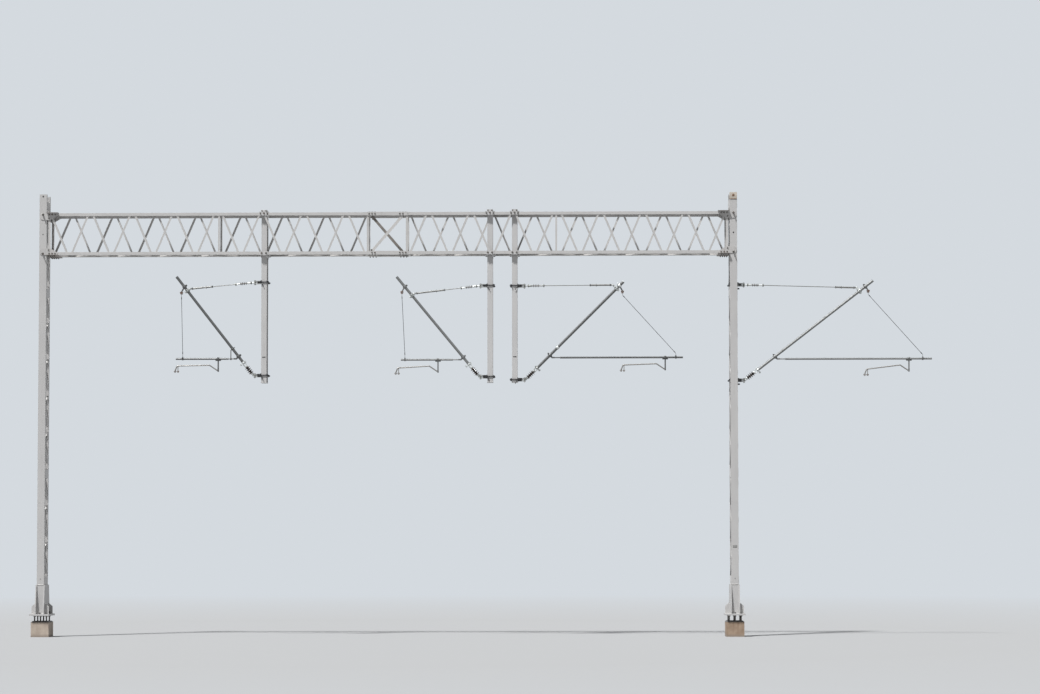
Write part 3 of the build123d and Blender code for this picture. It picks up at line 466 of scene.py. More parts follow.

# Mast fittings: dark discs in the webs' lifting holes, a painted shade for the open holes, and
# the welded shop joint of the two channel lengths. The right mast has a bare enamelled plate at
# eye level and two cover plates on its head, welded on along a seam that has rusted.
shop_joint, joint_half, joint_start, joint_end = 2.950, 0.079, 0.189, 0.126
# Painted shade: the discs are near black, standing for the dark inside of open holes
hole_shade_dark = zinc_coat("hole_shade_dark", (0.07, 0.07, 0.07, 1), (0.03, 0.03, 0.03, 1), rust=0.6, roughness=0.6,
                      metal=0.3)
for side, centre in masts.items():
    hole_shade_discs = bmesh.new()
    for z, radius in ((1.272, 0.010), (8.880, 0.012 if side == "left" else 0.018), (9.722, 0.019)):
        for way in (-1, 1):
            turned(hole_shade_discs, [(radius, 0), (radius, 0.0015), (0.8 * radius, 0.003), (0, 0.0032)],
                   (centre, way * web_out, z), (0, way, 0), 18)
    place_mesh(f"{side}_web_hole_shades", hole_shade_discs, hole_shade_dark)
    seams = bmesh.new()
    for way in (-1, 1):
        bead(seams, (centre - joint_half, way * web_out, shop_joint),
             (centre + joint_half, way * web_out, shop_joint), 0.0022, 7)
        for x in (centre - flange_out, centre + flange_out):
            bead(seams, (x, way * joint_start, shop_joint), (x, way * joint_end, shop_joint), 0.0022, 8)
    place_mesh(f"{side}_mast_seam", seams, weld_paint)


def slab(mesh, corner, opposite, bevel=0.001):
    """A plate between two opposite corners with its arrises eased."""
    low, high = (Vector([pick(pair) for pair in zip(corner, opposite)]) for pick in (min, max))
    made = bmesh.ops.create_cube(mesh, size=1.0)["verts"]
    bmesh.ops.scale(mesh, vec=high - low, verts=made)
    bmesh.ops.translate(mesh, vec=(low + high) / 2, verts=made)
    edges = list(dict.fromkeys(edge for vert in made for edge in vert.link_edges))
    bmesh.ops.bevel(mesh, geom=edges, offset=bevel, segments=2, affect="EDGES", profile=0.6)


number_plate, tree, shader, place = new_material("enamel_plate")
run = use_group(tree, streaks, Place=place, Fineness=60.0, Seed=6.0)["Mask"]
feed(tree, shader, {"Base Color": mixed(tree, run, (0.27, 0.27, 0.265, 1), (0.17, 0.155, 0.14, 1)),
                    "Roughness": mask(tree, run, -0.6, 1.0)})
sign_half, sign_low, sign_high, sign_face = 0.0465, 1.9455, 2.0045, -web_out - 0.004
rivet_half, rivet_levels = 0.037, (1.955, 1.995)
sign = bmesh.new()
slab(sign, (span - sign_half, sign_face, sign_low), (span + sign_half, -web_out - 0.0005, sign_high), 0.0015)
for x in (span - rivet_half, span + rivet_half):
    for z in rivet_levels:
        turned(sign, [(0.004, 0), (0.0035, 0.0015), (0, 0.002)], (x, sign_face, z), (0, -1, 0), 10)
place_mesh("bare_number_plate", sign, number_plate)
cap_paint = grey_paint("cap_paint", (0.50, 0.44, 0.37, 1), streak=0.6, dust=0.5, rust=1.6, seed=3.3)
rusty_seam = zinc_coat("rusty_seam", (0.22, 0.12, 0.07, 1), (0.12, 0.075, 0.05, 1), rust=1.0,
                       roughness=0.7, metal=0.1)
cap_half, cap_low, cap_high, cap_plug, cap_face = 0.082, 9.622, 9.768, 9.702, 0.193
seam_out, seam_level = 0.192, 9.620
cap, seam = bmesh.new(), bmesh.new()
for way in (-1, 1):
    slab(cap, (span - cap_half, way * web_out, cap_low), (span + cap_half, way * cap_face, cap_high))
    bead(seam, (span - flange_out, way * seam_out, seam_level),
         (span + flange_out, way * seam_out, seam_level), 0.0065, 11)
    turned(seam, [(0.030, 0), (0.029, 0.0015), (0.020, 0.004), (0, 0.0045)],
           (span, way * cap_face, cap_plug), (0, way, 0), 24)
place_mesh("right_mast_cap_seam", seam, rusty_seam)
place_mesh("right_mast_cap_plates", cap, cap_paint)

# Beam bolting: the two halves meet under four connecting angles, and each end is bolted
# through lap plates and seat plates to its mast, with high-strength bolts on washers. The
# seat plates over and under the beam's ends are coloured dark and mottled, a painted shade
# for their shaded undersides and edges.
middle = span / 2
beam_low, beam_high = 8.420, 9.350
splice_rows, splice_levels = (0.275, 0.340, 0.405), (9.316, 8.454)
splice_face, splice_top, splice_under, splice_line = 0.198, 9.358, 8.412, 0.152
brace_bolt, brace_face, brace_levels = 0.350, 0.184, (9.256, 8.514)
lap_face, lap_rows, lap_inner, lap_inner_levels = 0.200, (0.140, 0.205, 0.270), 0.128, (8.532, 9.240)
lap_start, lap_end, lap_edge = 0.086, 0.330, 0.191
seat_top, seat_under, seat_rows, seat_lines = 9.360, 8.410, (0.118, 0.165, 0.212, 0.259), (0.157, 0.232)


def shank(mesh, at, along, length):
    """The end of a bolt, which stands out past its nut."""
    turned(mesh, [(0.008, 0), (0.008, length - 0.002), (0.0065, length)], at, along, 12)


splice_bolts = bmesh.new()
for offset in splice_rows:
    for way in (-1, 1):
        x = middle + way * offset
        for front in (-1, 1):
            for z in splice_levels:
                # At the front two corners have no outer bolt
                if front < 0 and offset == splice_rows[-1] and way * (z - 9) > 0:
                    continue
                nut(splice_bolts, (x, front * splice_face, z), (0, front, 0), 0.020, 0.012)
                shank(splice_bolts, (x, front * (splice_face + 0.014), z), (0, front, 0), 0.010)
            nut(splice_bolts, (x, front * splice_line, splice_top), upward, 0.020, 0.009)
            nut(splice_bolts, (x, front * splice_line, splice_under), (0, 0, -1), 0.022, 0.014)
            shank(splice_bolts, (x, front * splice_line, splice_under), (0, 0, -1), 0.024)
for front in (-1, 1):
    for way in (-1, 1):
        nut(splice_bolts, (middle + way * brace_bolt, front * brace_face, brace_levels[way == front]),
            (0, front, 0), 0.020, 0.011)
place_mesh("splice_bolts", splice_bolts, bolt_zinc)

joint_paint = grey_paint("joint_paint", (0.44, 0.43, 0.425, 1), streak=0.45, dust=0.5, rust=0.9, seed=2.4)
# Painted shade: above the beam's top and below its bottom the seat plates are coloured dark
second_coat(joint_paint, [(2, beam_high - 0.0005, beam_high + 0.0005),
                          (2, beam_low + 0.0005, beam_low - 0.0005)],
            (0.15, 0.135, 0.125, 1), (0.23, 0.205, 0.19, 1), grain=55.0)
for side, centre in masts.items():
    finish_nodes(joint_paint, f"{side}_beam_joint")
    inward = 1 if side == "left" else -1
    joint_bolts, edges = bmesh.new(), bmesh.new()
    for front in (-1, 1):
        for outer, inner in zip(rod_levels, lap_inner_levels):
            for reach, z in [(reach, outer) for reach in lap_rows] + [(lap_inner, inner)]:
                nut(joint_bolts, (centre + inward * reach, front * lap_face, z), (0, front, 0), 0.020, 0.012)
        for reach in seat_rows:
            for line in seat_lines:
                x, y = centre + inward * reach, front * line
                turned(joint_bolts, [(0.011, 0), (0.0105, 0.003), (0.007, 0.006), (0, 0.007)],
                       (x, y, seat_top), upward, 16)
                nut(joint_bolts, (x, y, seat_under), (0, 0, -1), 0.022, 0.014)
                shank(joint_bolts, (x, y, seat_under), (0, 0, -1), 0.024)
        for z in (beam_high - 0.001, beam_low + 0.001):
            bead(edges, (centre + inward * lap_start, front * lap_edge, z),
                 (centre + inward * lap_end, front * lap_edge, z), 0.004, 12)
    place_mesh(f"{side}_beam_joint_bolts", joint_bolts, bolt_zinc)
    place_mesh(f"{side}_lap_plate_welds", edges, weld_paint)

# Beam welds: every zigzag bar is welded to the inner faces of the chords, and the bead
# shows as a short rippled seam along the chord's lower or upper edge.
panel, node_spread, bar_lean = 0.4647, 0.050, 0.016
first_node, stiffener_node, stiffener_gap, panels = 0.124, 8, 0.075, 15
chord_face, upper_seam, lower_seam, seam_half = 0.1825, 9.2855, 8.4845, 0.026
for side, centre in masts.items():
    inward = 1 if side == "left" else -1
    seams = bmesh.new()
    for k in range(panels):
        start = first_node + k * panel + (stiffener_gap if k >= stiffener_node else 0)
        for front in (-1, 1):
            falls = (k % 2 == 0) == (front < 0)
            for reach, high in ((start + node_spread, falls), (start + panel - node_spread, not falls)):
                lean = (bar_lean if falls == high else -bar_lean) * (1 if high else -1)
                x, y = centre + inward * (reach + lean), front * chord_face
                z = upper_seam if high else lower_seam
                bead(seams, (x - seam_half, y, z), (x + seam_half, y, z), 0.0035, k)
    place_mesh(f"{side}_beam_welds", seams, weld_paint)

# Drop posts: rolled sections that hang from the beam by cleats on the chords' faces and
# cross angles over and under them, all bolted up. Their paint is pale, and the bolts'
# heads are dark with old zinc and show against it.
post_places, post_foot = (4.891, 9.882, 10.425), 5.600
cross_reach, cross_line, cross_top, cross_under = 0.092, 0.157, 9.356, 8.414
post_edge, foot_half, foot_face = 0.061, 0.059, 0.1205
tag_aside, tag_half, tag_low, tag_high = 0.019, 0.017, 6.142, 6.166
# Bolts beside each post: distance, face, level, width over flats and height
cleat_bolts = ((0.074, 0.190, 9.330, 0.024, 0.018), (0.043, 0.198, 9.388, 0.016, 0.009),
               (0.048, 0.198, 8.452, 0.024, 0.014))
post_paint = grey_paint("post_paint", (0.48, 0.475, 0.475, 1), streak=0.18, dust=0.4, rust=0.2, seed=5.5)
tag_dark = zinc_coat("tag_dark", (0.16, 0.16, 0.16, 1), (0.08, 0.08, 0.08, 1), rust=0.4, roughness=0.6,
                     metal=0.4)
for number, x in enumerate(post_places, 1):
    finish_nodes(post_paint, f"drop_post_{number}", f"drop_post_{number}_brackets")
    heads, seams = bmesh.new(), bmesh.new()
    for front in (-1, 1):
        nut(heads, (x, front * 0.198, 9.334), (0, front, 0), 0.024, 0.014)
        for way in (-1, 1):
            for aside, face, level, across, height in cleat_bolts:
                nut(heads, (x + way * aside, front * face, level), (0, front, 0), across, height)
            for z, heading in ((cross_top, 1), (cross_under, -1)):
                nut(heads, (x + way * cross_reach, front * cross_line, z), (0, 0, heading), 0.022, 0.012)
            for y, z, size, seed in ((0.120, cross_top, 0.004, 13), (0.119, post_foot, 0.003, 14)):
                bead(seams, (x + way * post_edge, front * y, z), (x + way * post_edge, 0, z), size, seed)
        y = front * foot_face
        bead(seams, (x - foot_half, y, post_foot), (x + foot_half, y, post_foot), 0.003, 15)
    place_mesh(f"drop_post_{number}_bolts", heads, bolt_zinc)
    place_mesh(f"drop_post_{number}_welds", seams, weld_paint)
    if number != 2:
        tag = bmesh.new()
        for tag_x in (x - tag_aside, x + tag_aside):
            slab(tag, (tag_x - tag_half, -0.1225, tag_low), (tag_x + tag_half, -0.1202, tag_high), 0.0008)
        place_mesh(f"drop_post_{number}_tag", tag, tag_dark)

# Cantilever brackets: forgings dipped black, clamped round each post by two long bolts or
# bolted to the right mast's flanges. The lugs' ends and the hinge pins are bare
# galvanised steel, worn bright, and a split pin holds each hinge pin.
face_x = (4.831, 9.822, 10.485, 15.320)
reach_way = (-1, -1, 1, 1)
lower_pin = (5.758, 5.721, 5.654, 5.630)
upper_pin = (7.823, 7.737, 7.730, 7.741)
hinge_reach, hinge_end, lug_top = 0.155, 0.048, 0.037
clamp_bolt, clamp_front, clamp_back, clamp_width = 0.132, 0.012, 0.132, 0.036
flange_bolt, flange_front, flange_back = 0.157, 0.017, 0.177
# A dark bar hangs at the front below each clamp, a painted shadow of the strap's bolt on the
# post: distance behind the face, depth and drop
strap_shadow_path = ((0.010, -0.138, 0), (0.016, -0.143, 0.030), (0.030, -0.144, 0.062), (0.050, -0.142, 0.098))


def bracket_finish(name, hinge_x, plate_x, level):
    """Black dip over iron that stops short of the hinge and leaves the upper lugs zinc."""
    material, tree, shader, place = new_material(name)
    coat = use_group(tree, spangle, Place=place, Light=(0.58, 0.59, 0.58, 1), Dark=(0.40, 0.41, 0.40, 1),
                     Rust=0.5, Scale=1.0)
    x, y, z = parts(tree, place)

    def away(value, centre):
        """How far a value is from a centre."""
        return calc(tree, "ABSOLUTE", calc(tree, "SUBTRACT", value, centre))

    ragged = calc(tree, "MULTIPLY_ADD", noise(tree, place, 60.0, 3.0), 0.012, away(x, hinge_x))
    near_hinge = mask(tree, ragged, 0.066, 0.062)
    height = away(z, level)
    off_plate = calc(tree, "MULTIPLY", mask(tree, away(x, plate_x), 0.0135, 0.0145),
                     mask(tree, height, 0.0245, 0.0255))
    lug = calc(tree, "MULTIPLY", off_plate, mask(tree, height, 0.045, 0.044))
    dipped = calc(tree, "SUBTRACT", 1.0, calc(tree, "MAXIMUM", near_hinge, lug))
    scuffs = mask(tree, noise(tree, place, 34.0, 6.0), 0.62, 0.70)
    dip = mixed(tree, scuffs, (0.030, 0.031, 0.033, 1), (0.11, 0.075, 0.055, 1))
    feed(tree, shader, {"Base Color": mixed(tree, dipped, coat["Color"], dip),
                        "Metallic": ranged(tree, dipped, 0.4, 0.0),
                        "Roughness": ranged(tree, scuffs, 0.42, 0.8),
                        "Normal": raised(tree, scuffs, 0.3, 0.0008)})
    return material


pin_steel = zinc_coat("pin_steel", (0.55, 0.56, 0.55, 1), (0.34, 0.34, 0.33, 1), rust=0.4, roughness=0.4)
for number, (face, way, *levels) in enumerate(zip(face_x, reach_way, lower_pin, upper_pin), 1):
    hinge = face + way * hinge_reach
    iron = bracket_finish(f"bracket_iron_{number}", hinge, face, levels[1])
    finish_nodes(iron, f"cantilever_{number}_brackets")
    nuts, pins = bmesh.new(), bmesh.new()
    for level in levels:
        if number < 4:
            for y in (-clamp_bolt, clamp_bolt):
                for x, out_way in ((face + way * clamp_front, way), (face - way * clamp_back, -way)):
                    nut(nuts, (x, y, level), (out_way, 0, 0), clamp_width, 0.020)
                    thread(nuts, (x, y, level), (out_way, 0, 0), 0.037, 0.0101)
            # Painted shadow: a bar in the bracket's black runs down where the bolt's shadow falls
            shadow_bar = [Vector((face - way * behind, y, level - fall)) for behind, y, fall in strap_shadow_path]
            for a, b in zip(shadow_bar, shadow_bar[1:]):
                turned(nuts, [(0.0075, -0.003), (0.0075, (b - a).length + 0.003)], a, b - a, 10)
        else:
            for y in (-flange_bolt, flange_bolt):
                for z in (level - 0.020, level + 0.020):
                    nut(nuts, (face + flange_front, y, z), (1, 0, 0), 0.024, 0.014)
                nut(nuts, (face - flange_back, y, level), (-1, 0, 0), 0.024, 0.014)
            # A stop under the lug, on a short stem
            slab(nuts, (face + 0.004, -0.030, level - 0.104), (face + 0.060, -0.012, level - 0.072), 0.004)
            slab(nuts, (face + 0.004, -0.028, level - 0.080), (face + 0.018, -0.014, level - 0.030), 0.002)
        turned(pins, [(0.0155, 0), (0.0195, 0.002), (0.0195, 0.010), (0.014, 0.013)],
               (hinge, 0, level + hinge_end - 0.011), upward, 20)
        nut(pins, (hinge, 0, level - lug_top), (0, 0, -1), 0.030, 0.016)
        turned(pins, [(0.002, 0), (0.002, 0.044)], (hinge, -0.022, level - hinge_end + 0.004), crossways, 8)
    place_mesh(f"cantilever_{number}_bracket_nuts", nuts, iron)
    place_mesh(f"cantilever_{number}_hinge_pin_ends", pins, pin_steel)

# Insulators: ribbed rods of dark brown glazed ceramic below, and above four thin sheds on
# a pale coated rod. Galvanised caps are fixed on both ends, bright on three cantilevers
# and duller on the third, and a turned eye joins each insulator to its hinge pin.
clamp_reach = (1.787, 1.893, 2.318, 2.896)
hang_rise = (0.140, 0.128, 0.140, 0.105)
saddle_level, hang_back = 7.590, 0.065
foot_reach, foot_rise = 0.220, 0.045
tie_back = (0.110, 0.250, 0.090, 0.164)
eye_away = (0.068, 0.068, 0.113, 0.096)
tie_start, tie_insulator = 0.235, 0.355
first_shed, shed_step = 0.110, 0.038
link_at, wing_at, wing_above, wing_below, wing_bolt = 0.250, 0.300, 0.062, 0.090, 0.018
insulator_glaze, tree, shader, place = new_material("insulator_glaze")
pool = mask(tree, noise(tree, place, 30.0, 4.0), 0.35, 0.7)
glaze = mixed(tree, pool, (0.028, 0.022, 0.020, 1), (0.060, 0.040, 0.032, 1))
grime = mask(tree, noise(tree, place, 9.0, 6.0), 0.50, 0.72)
feed(tree, shader, {"Base Color": mixed(tree, grime, glaze, (0.13, 0.12, 0.11, 1)),
                    "Roughness": ranged(tree, grime, 0.16, 0.5)})
bright_zinc = zinc_coat("bright_zinc", (0.74, 0.76, 0.75, 1), (0.55, 0.57, 0.56, 1), rust=0.1,
                        roughness=0.42, metal=0.45)
cap_zinc = zinc_coat("cap_zinc", (0.46, 0.47, 0.46, 1), (0.30, 0.31, 0.30, 1), rust=0.2, metal=0.4)
rod_coat = zinc_coat("rod_coat", (0.42, 0.42, 0.41, 1), (0.30, 0.30, 0.29, 1), rust=0.2, metal=0.1)
old_zinc = zinc_coat("old_zinc", (0.30, 0.305, 0.285, 1), (0.17, 0.175, 0.16, 1), rust=0.4, metal=0.5)


def cantilever_lines(k):
    """One cantilever's strut and tie: their feet, headings, the tie's eye and the strut's length."""
    foot = Vector((foot_reach, 0, lower_pin[k] + foot_rise))
    hang = Vector((clamp_reach[k] - hang_back, 0, saddle_level + hang_rise[k]))
    along = (hang - foot).normalized()
    away = Vector((-along.z, 0, along.x))
    eye = foot + along * ((hang - foot).length - tie_back[k]) + away * eye_away[k]
    tie = (eye - Vector((hinge_reach, 0, upper_pin[k]))).normalized()
    tie_foot = Vector((tie_start, 0, upper_pin[k] + (tie_start - hinge_reach) * tie.z))

    def turned_round(vector, start=0.0):
        """The same on the post's own side, from a place along the beam."""
        return Vector((start + reach_way[k] * vector.x, vector.y, vector.z))

    places = [turned_round(point, face_x[k]) for point in (foot, tie_foot, eye)]
    headings = [turned_round(heading) for heading in (along, away, tie)]
    return *places, *headings, (hang - foot).length


def sheds(mesh, start, along, body, core, rim, count, first, last):
    """A glazed rod with ribs: each has a sloping top, a rounded rim and a hollow underside."""
    depth, step = rim - core, (last - first) / count
    rib = ((core, 0.10), (core + 0.25 * depth, 0.22), (0.97 * rim, 0.34), (rim, 0.40), (0.97 * rim, 0.47),
           (core + 0.55 * depth, 0.52), (core + 0.2 * depth, 0.66), (core, 0.80))
    profile = [(core, body[0])]
    for k in range(count):
        profile += [(radius, first + (k + share) * step) for radius, share in rib]
    profile.append((core, body[1]))
    turned(mesh, profile, start, along, 32)


def collar(mesh, half, at, along, sides):
    """A turned form that is the same to both sides of its middle."""
    turned(mesh, [(radius, -distance) for radius, distance in half] + half[::-1], at, along, sides)


def nut_pair(mesh, at, along, half, across, height, washer=True):
    """A nut on each end of a bolt, half its length from its middle."""
    for way in (-1, 1):
        nut(mesh, Vector(at) + Vector(along) * way * half, Vector(along) * way, across, height, washer)


def straight(mesh, start, end, radius):
    """A plain round bar between two points."""
    step = Vector(end) - Vector(start)
    turned(mesh, [(0.92 * radius, 0), (radius, 0.08 * radius), (radius, step.length - 0.08 * radius),
                  (0.92 * radius, step.length)], start, step, 14)


def ring(mesh, centre, along, across, length, width, bar):
    """A flattened oval link of round bar in the plane of two directions."""
    corners = 22
    points = []
    for k in range(corners):
        angle = 2 * pi * k / corners
        points.append(centre + along * (length / 2 * cos(angle)) + across * (width / 2 * sin(angle)))
    for point, after in zip(points, points[1:] + points[:1]):
        step = after - point
        turned(mesh, [(bar, -0.15 * bar), (bar, step.length + 0.15 * bar)], point, step, 10)


for k in range(4):
    number, body = k + 1, f"cantilever_{k + 1}"
    foot, tie_foot, eye, along, away, tie, length = cantilever_lines(k)
    glazed, caps, eyes, rods = bmesh.new(), bmesh.new(), bmesh.new(), bmesh.new()
    sheds(glazed, foot, along, (0.004, 0.192), 0.025, 0.062, 4, 0.008, 0.186)
    for shed in range(4):
        start = first_shed + shed * shed_step
        turned(glazed, [(0.0138, start), (0.020, start + 0.002), (0.036, start + 0.007),
                        (0.037, start + 0.010), (0.036, start + 0.013), (0.022, start + 0.013),
                        (0.0138, start + 0.017)], tie_foot, tie, 30)
    # Lower insulator: a short cap at the pin's side, and at the tube's side a cap with an
    # oval link that is bolted to a wide wing plate
    turned(caps, [(0.020, -0.020), (0.034, -0.012), (0.036, 0.004), (0.028, 0.012)], foot, along, 28)
    turned(caps, [(0.029, 0.184), (0.036, 0.190), (0.037, 0.214), (0.022, 0.222)], foot, along, 28)
    ring(caps, foot + along * link_at, along, away, 0.064, 0.062, 0.010)
    wing = foot + along * wing_at
    for side, end in ((away, wing_above), (-away, wing_below)):
        turned(caps, [(0.014, 0), (0.0115, 0.5 * end), (0.0115, end - 0.004), (0.009, end)], wing, side, 16)
        nut_pair(caps, wing + side * (end - wing_bolt), along, 0.010, 0.020, 0.012)
    turned(caps, [(0.024, -0.016), (0.034, -0.012), (0.034, 0.010), (0.0305, 0.020)], wing, along, 28)
    # Upper insulator: an end disc of old green zinc and a smooth cap at each end, the
    # second cap more slender
    turned(rods, [(0.0140, 0.090), (0.0140, 0.266)], tie_foot, tie, 24)
    for start, heading, swell in ((tie_foot, tie, 1.0), (tie_foot + tie * tie_insulator, -tie, 0.66)):
        turned(caps, [(0.013, 0.012), (0.022 * swell, 0.020), (0.0235 * swell, 0.040),
                      (0.0225 * swell, 0.078), (0.0142, 0.098)], start, heading, 24)
        turned(eyes, [(0.012, -0.006), (0.031, -0.004), (0.033, 0.002), (0.033, 0.014), (0.030, 0.018),
                      (0.014, 0.020)], start, heading, 24)
    for level, target in ((lower_pin[k], foot - along * 0.014), (upper_pin[k], tie_foot)):
        hinge = Vector((face_x[k] + reach_way[k] * hinge_reach, 0, level))
        collar(eyes, [(0.0108, 0.0247), (0.0200, 0.0247), (0.0220, 0.021)], hinge, upward, 32)
        step = (target - hinge).normalized()
        straight(caps, hinge + step * 0.016, target + step * 0.004, 0.0125)
        if level == lower_pin[k]:
            knuckle = hinge + step * 0.046
            collar(caps, [(0.012, 0.030), (0.017, 0.026)], knuckle, upward, 18)
            nut_pair(caps, knuckle, upward, 0.028, 0.022, 0.010, washer=False)
    for name, mesh, material, slot in (
            ("insulator_sheds", glazed, insulator_glaze, "insulator"),
            ("insulator_caps", caps, cap_zinc if number == 3 else bright_zinc, "insulator"),
            ("insulator_rods", rods, rod_coat, "insulator"), ("swivel_eyes", eyes, old_zinc, "dark_iron")):
        piece = place_mesh(f"{name}_{number}", mesh, material, body)
        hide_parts(f"cantilever_{number}_insulators")

# Cantilever tubes, ties, stays and arms: galvanised steel tube, rod and laid rope, gone
# dull grey. Bolted clamps join them, bright at the ties, and small bronze clamps sit on
# the saddles and at the steady arms' tips.
tube_tone, tube_roughness = (0.155, 0.235, 0.150, 0.235), (0.40, 0.40, 0.40, 0.56)
overhang = (0.283, 0.285, 0.128, 0.215)
registration_level = (6.130, 6.100, 6.141, 6.100)
registration_end = (1.904, 1.914, 3.645, 4.283)
stay_at = (1.753, 1.825, 3.489, 4.083)
drop_at = (0.965, 1.094, 3.255, 3.779)
arm_at, arm_heading = (1.877, 1.984, 2.327, 2.850), (1, 1, -1, -1)
turnbuckle = (0.450, 0.620, 0.450, 0.410)
contact_level = (5.846, 5.791, 5.846, 5.742)
drop, tip_reach, second_back = 0.270, 0.045, 0.020
saddle_half, stay_lug, stay_end, ferrule, rope_inset = 0.023, 0.044, 0.045, 0.048, 0.020
tie_ear, hanger_ear, registration_rise, strap_rise = 0.052, 0.053, 0.052, 0.014
lock_nuts, grip_start, grip_share = (0.047, 0.043), 0.045, 0.72
link_clamp, link_reach, spare_clamp = 0.695, 0.686, 0.938
link_foot, link_bend, link_top = 0.024, 0.192, 0.196
keeper_half, keeper_inner, keeper_outer, keeper_low, keeper_high = 0.024, 0.0355, 0.0415, 0.0085, 0.025
jaw_aside, jaw_thick, jaw_deep, jaw_high = 0.0152, 0.002, 0.017, 0.0185
arm_zinc = zinc_coat("arm_zinc", (0.29, 0.28, 0.265, 1), (0.25, 0.24, 0.225, 1), rust=0.02,
                     roughness=0.42, metal=0.5, scale=0.3)
rope_steel = zinc_coat("rope_steel", (0.055, 0.053, 0.050, 1), (0.030, 0.029, 0.028, 1), roughness=0.6,
                       metal=0.3)
bronze, tree, shader, place = new_material("wire_clamp_bronze")
patina = mask(tree, noise(tree, place, 40.0, 6.0), 0.42, 0.66)
feed(tree, shader, {"Base Color": mixed(tree, patina, (0.27, 0.16, 0.12, 1), (0.14, 0.11, 0.09, 1)),
                    "Metallic": 0.8, "Roughness": ranged(tree, patina, 0.35, 0.7)})


def stay_finish(number):
    """Dull zinc for the upper tie, and for the rope below the saddle the dark grain of its lay."""
    material = zinc_coat(f"stay_zinc_{number}", (0.23, 0.23, 0.22, 1), (0.19, 0.19, 0.18, 1), rust=0.1,
                         roughness=0.45, metal=0.5, scale=0.3)
    second_coat(material, [(2, saddle_level - 0.05, saddle_level - 0.06)], (0.035, 0.033, 0.032, 1),
                (0.085, 0.080, 0.075, 1), grain=90.0, laid=True)
    return material


def rope(mesh, start, end, lay=0.085, strands=8, centre=0.0043, strand=0.0016, sides=5):
    """A laid wire rope: strands wound round the core at an even pitch."""
    heading = (end - start).normalized()
    side = heading.cross(Vector(crossways)).normalized()
    steps = int((end - start).length / 0.016)
    section = [(centre + strand * cos(2 * pi * i / sides), strand * sin(2 * pi * i / sides))
               for i in range(sides)]
    for first in range(strands):
        rings = []
        for k in range(steps + 1):
            middle = start.lerp(end, k / steps)
            turns = first / strands + (middle - start).length / lay
            out = Matrix.Rotation(2 * pi * turns, 3, heading) @ side
            across = heading.cross(out)
            rings.append([mesh.verts.new(middle + out * u + across * v) for u, v in section])
        for a, b in zip(rings, rings[1:]):
            for i in range(sides):
                mesh.faces.new((a[i], a[(i + 1) % sides], b[(i + 1) % sides], b[i]))
        mesh.faces.new(list(reversed(rings[0])))
        mesh.faces.new(rings[-1])


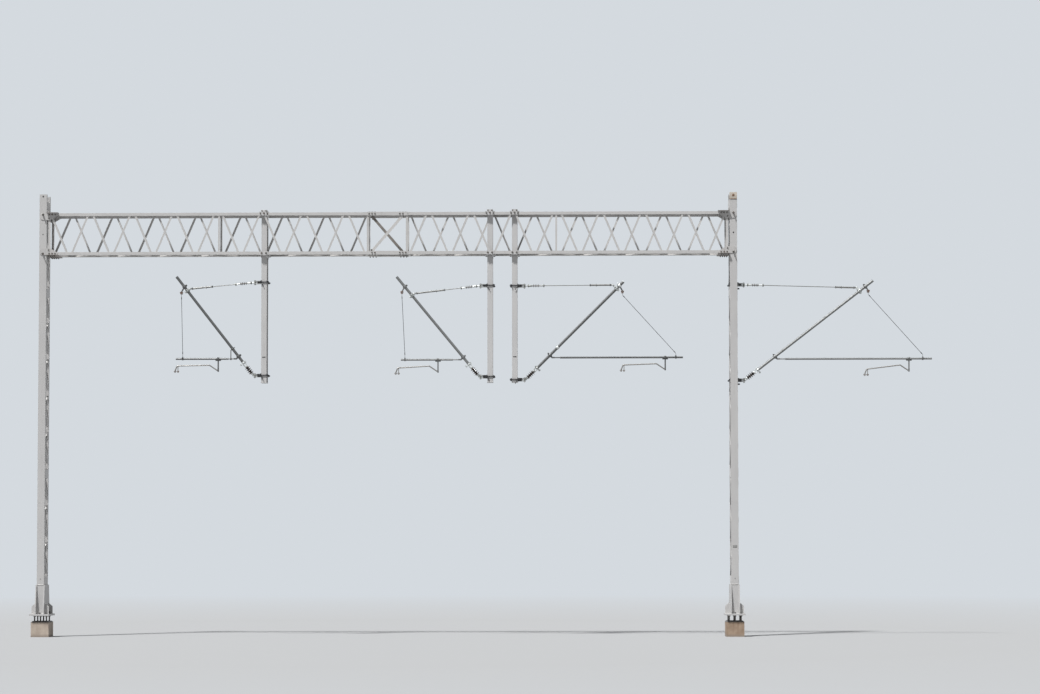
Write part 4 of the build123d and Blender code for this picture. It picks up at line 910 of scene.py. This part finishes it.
for k in range(4):
    number, body = k + 1, f"cantilever_{k + 1}"
    way, face, tone = reach_way[k], face_x[k], tube_tone[k]
    tube_zinc = zinc_coat(f"tube_zinc_{number}", (tone, 1.01 * tone, tone, 1),
                          (0.84 * tone, 0.85 * tone, 0.84 * tone, 1), rust=0.04,
                          roughness=tube_roughness[k], metal=0.7, scale=0.3)
    finish_nodes(tube_zinc, f"{body}_strut", f"{body}_registration_tube")
    finish_nodes(stay_finish(number), f"{body}_stays")
    finish_nodes(arm_zinc, f"{body}_steady_arm")
    foot, tie_foot, eye, along, away, tie, length = cantilever_lines(k)
    bright, dull = bmesh.new(), bmesh.new()
    upper_fittings = bright if number == 3 else dull
    # The tube's open top end shows a cut rim
    turned(upper_fittings, [(0.0252, -0.004), (0.0306, -0.012), (0.0312, 0), (0.0258, 0.0006),
                            (0.0250, -0.010)], foot + along * (length + overhang[k]), along, 28)
    # Tie clamp: for each half the whole clamping sleeve, an ear and a nut on both sides of it
    at = foot + along * (length - tie_back[k])
    for ear in (at - away * tie_ear, at + away * tie_ear):
        collar(bright, [(0.0440, 0.032), (0.0480, 0.027)], at, along, 28)
        collar(bright, [(0.013, 0.024), (0.015, 0.020)], ear, crossways, 14)
        nut_pair(bright, ear, crossways, 0.024, 0.022, 0.013)
    # Hanger clamp, and the clamp that carries the registration tube
    z = registration_level[k]
    for distance, mesh in ((length, upper_fittings), ((z + registration_rise - foot.z) / along.z, dull)):
        at = foot + along * distance
        collar(mesh, [(0.0425, 0.024), (0.0440, 0.020)], at, along, 28)
        collar(mesh, [(0.011, 0.020), (0.013, 0.016)], at + away * hanger_ear, crossways, 14)
        nut_pair(mesh, at + away * hanger_ear, crossways, 0.020, 0.019, 0.012)
    # Turnbuckle: lock nuts at both ends, the eye's bolt, and a bar that turns it
    for distance in (lock_nuts[0], lock_nuts[1] + turnbuckle[k]):
        nut(dull, eye - tie * distance, -tie, 0.044, 0.022, washer=False)
    nut_pair(bright, eye, crossways, 0.0145, 0.024, 0.010)
    collar(dull, [(0.006, 0.030), (0.007, 0.028)], eye - tie * (grip_start + turnbuckle[k] * grip_share),
           upward, 10)
    # Registration tube: clamp bolts, an end ring, and a wide lug plate over the drop bracket
    for reach in (stay_at[k], drop_at[k]):
        x, bolt_z = face + way * reach, z + strap_rise
        for out_way in (-1, 1):
            turned(dull, [(0.010, 0), (0.010, 0.014)], (x, out_way * 0.028, bolt_z), (0, out_way, 0), 12)
        nut_pair(dull, (x, 0, bolt_z), crossways, 0.040, 0.018, 0.010)
    turned(dull, [(0.0168, -0.002), (0.0213, -0.010), (0.0218, 0), (0.0172, 0.0006)],
           (face + way * registration_end[k], 0, z), (way, 0, 0), 24)
    x = face + way * drop_at[k]
    slab(dull, (x - 0.062, -0.006, z - 0.046), (x + 0.062, 0.006, z - 0.0215), 0.002)
    for aside in (-0.045, 0.045):
        collar(dull, [(0.010, 0.016), (0.0115, 0.014)], (x + aside, 0, z - 0.034), crossways, 12)
    nut_pair(dull, (x, 0, z - drop), crossways, 0.0165, 0.026, 0.010, washer=False)
    if number == 1:
        # A link rod from a small clamp on the strut steadies the first registration tube
        top, link_x = foot + along * link_clamp, face + way * link_reach
        collar(dull, [(0.037, 0.014), (0.039, 0.011)], top, along, 24)
        straight(dull, top + away * 0.030, top + away * 0.062, 0.008)
        straight(dull, top - away * 0.030, (link_x, 0, z + link_bend), 0.010)
        straight(dull, (link_x, 0, z + link_foot), (link_x, 0, z + link_top), 0.010)
        collar(dull, [(0.028, 0.012), (0.029, 0.010)], (link_x, 0, z), (1, 0, 0), 22)
    if number == 3:
        # A spare bright clamp sits part of the way up the third strut
        spare = foot + along * spare_clamp
        collar(bright, [(0.038, 0.024), (0.0405, 0.020)], spare, along, 26)
        straight(bright, spare + away * 0.030, spare + away * 0.056, 0.010)
    place_mesh(f"tube_clamps_bright_{number}", bright, bright_zinc, body)
    place_mesh(f"tube_fittings_{number}", dull, tube_zinc, body)
    # Saddle clamp: a bronze keeper each side of the saddle, with its two bolts
    x = face + way * clamp_reach[k]
    keeper = bmesh.new()
    for out_way in (-1, 1):
        for up_way in (1, -1):
            slab(keeper, (x - keeper_half, out_way * keeper_inner, saddle_level + up_way * keeper_low),
                 (x + keeper_half, out_way * keeper_outer, saddle_level + up_way * keeper_high), 0.0015)
        nut_pair(keeper, (x, out_way * 0.022, saddle_level + 0.014), (1, 0, 0), 0.0225, 0.016, 0.009)
    place_mesh(f"messenger_keeper_{number}", keeper, bronze, body)
    # Stay rope: it hangs from the saddle, is clamped in a ferrule at each end and holds up
    # the registration tube's end
    stay_top = Vector((x, 0, saddle_level - saddle_half - stay_end))
    stay_low = Vector((face + way * stay_at[k], 0, z + stay_lug + stay_end))
    heading = (stay_low - stay_top).normalized()
    laid = bmesh.new()
    rope(laid, stay_top + heading * (rope_inset + 0.002), stay_low - heading * (rope_inset + 0.002))
    for end, on in ((stay_top, heading), (stay_low, -heading)):
        turned(laid, [(0.0065, 0), (0.0085, 0.003), (0.0085, ferrule - 0.003), (0.0065, ferrule)],
               end + on * rope_inset, on, 14)
    place_mesh(f"stay_rope_{number}", laid, rope_steel, body)
    # Arm clamps: bronze jaws with one bolt each, on the steady arm's tip
    jaws, level = bmesh.new(), contact_level[k]
    for past_tip in (tip_reach, -second_back):
        x = face + way * (arm_at[k] + arm_heading[k] * past_tip)
        for jaw_x in (x - jaw_aside, x + jaw_aside):
            slab(jaws, (jaw_x - jaw_thick, -jaw_deep, level - jaw_high),
                 (jaw_x + jaw_thick, jaw_deep, level + jaw_high), 0.0012)
        nut_pair(jaws, (x, 0, level + 0.010), (1, 0, 0), 0.0170, 0.014, 0.008)
    place_mesh(f"contact_jaws_{number}", jaws, bronze, f"steady_arm_{number}")
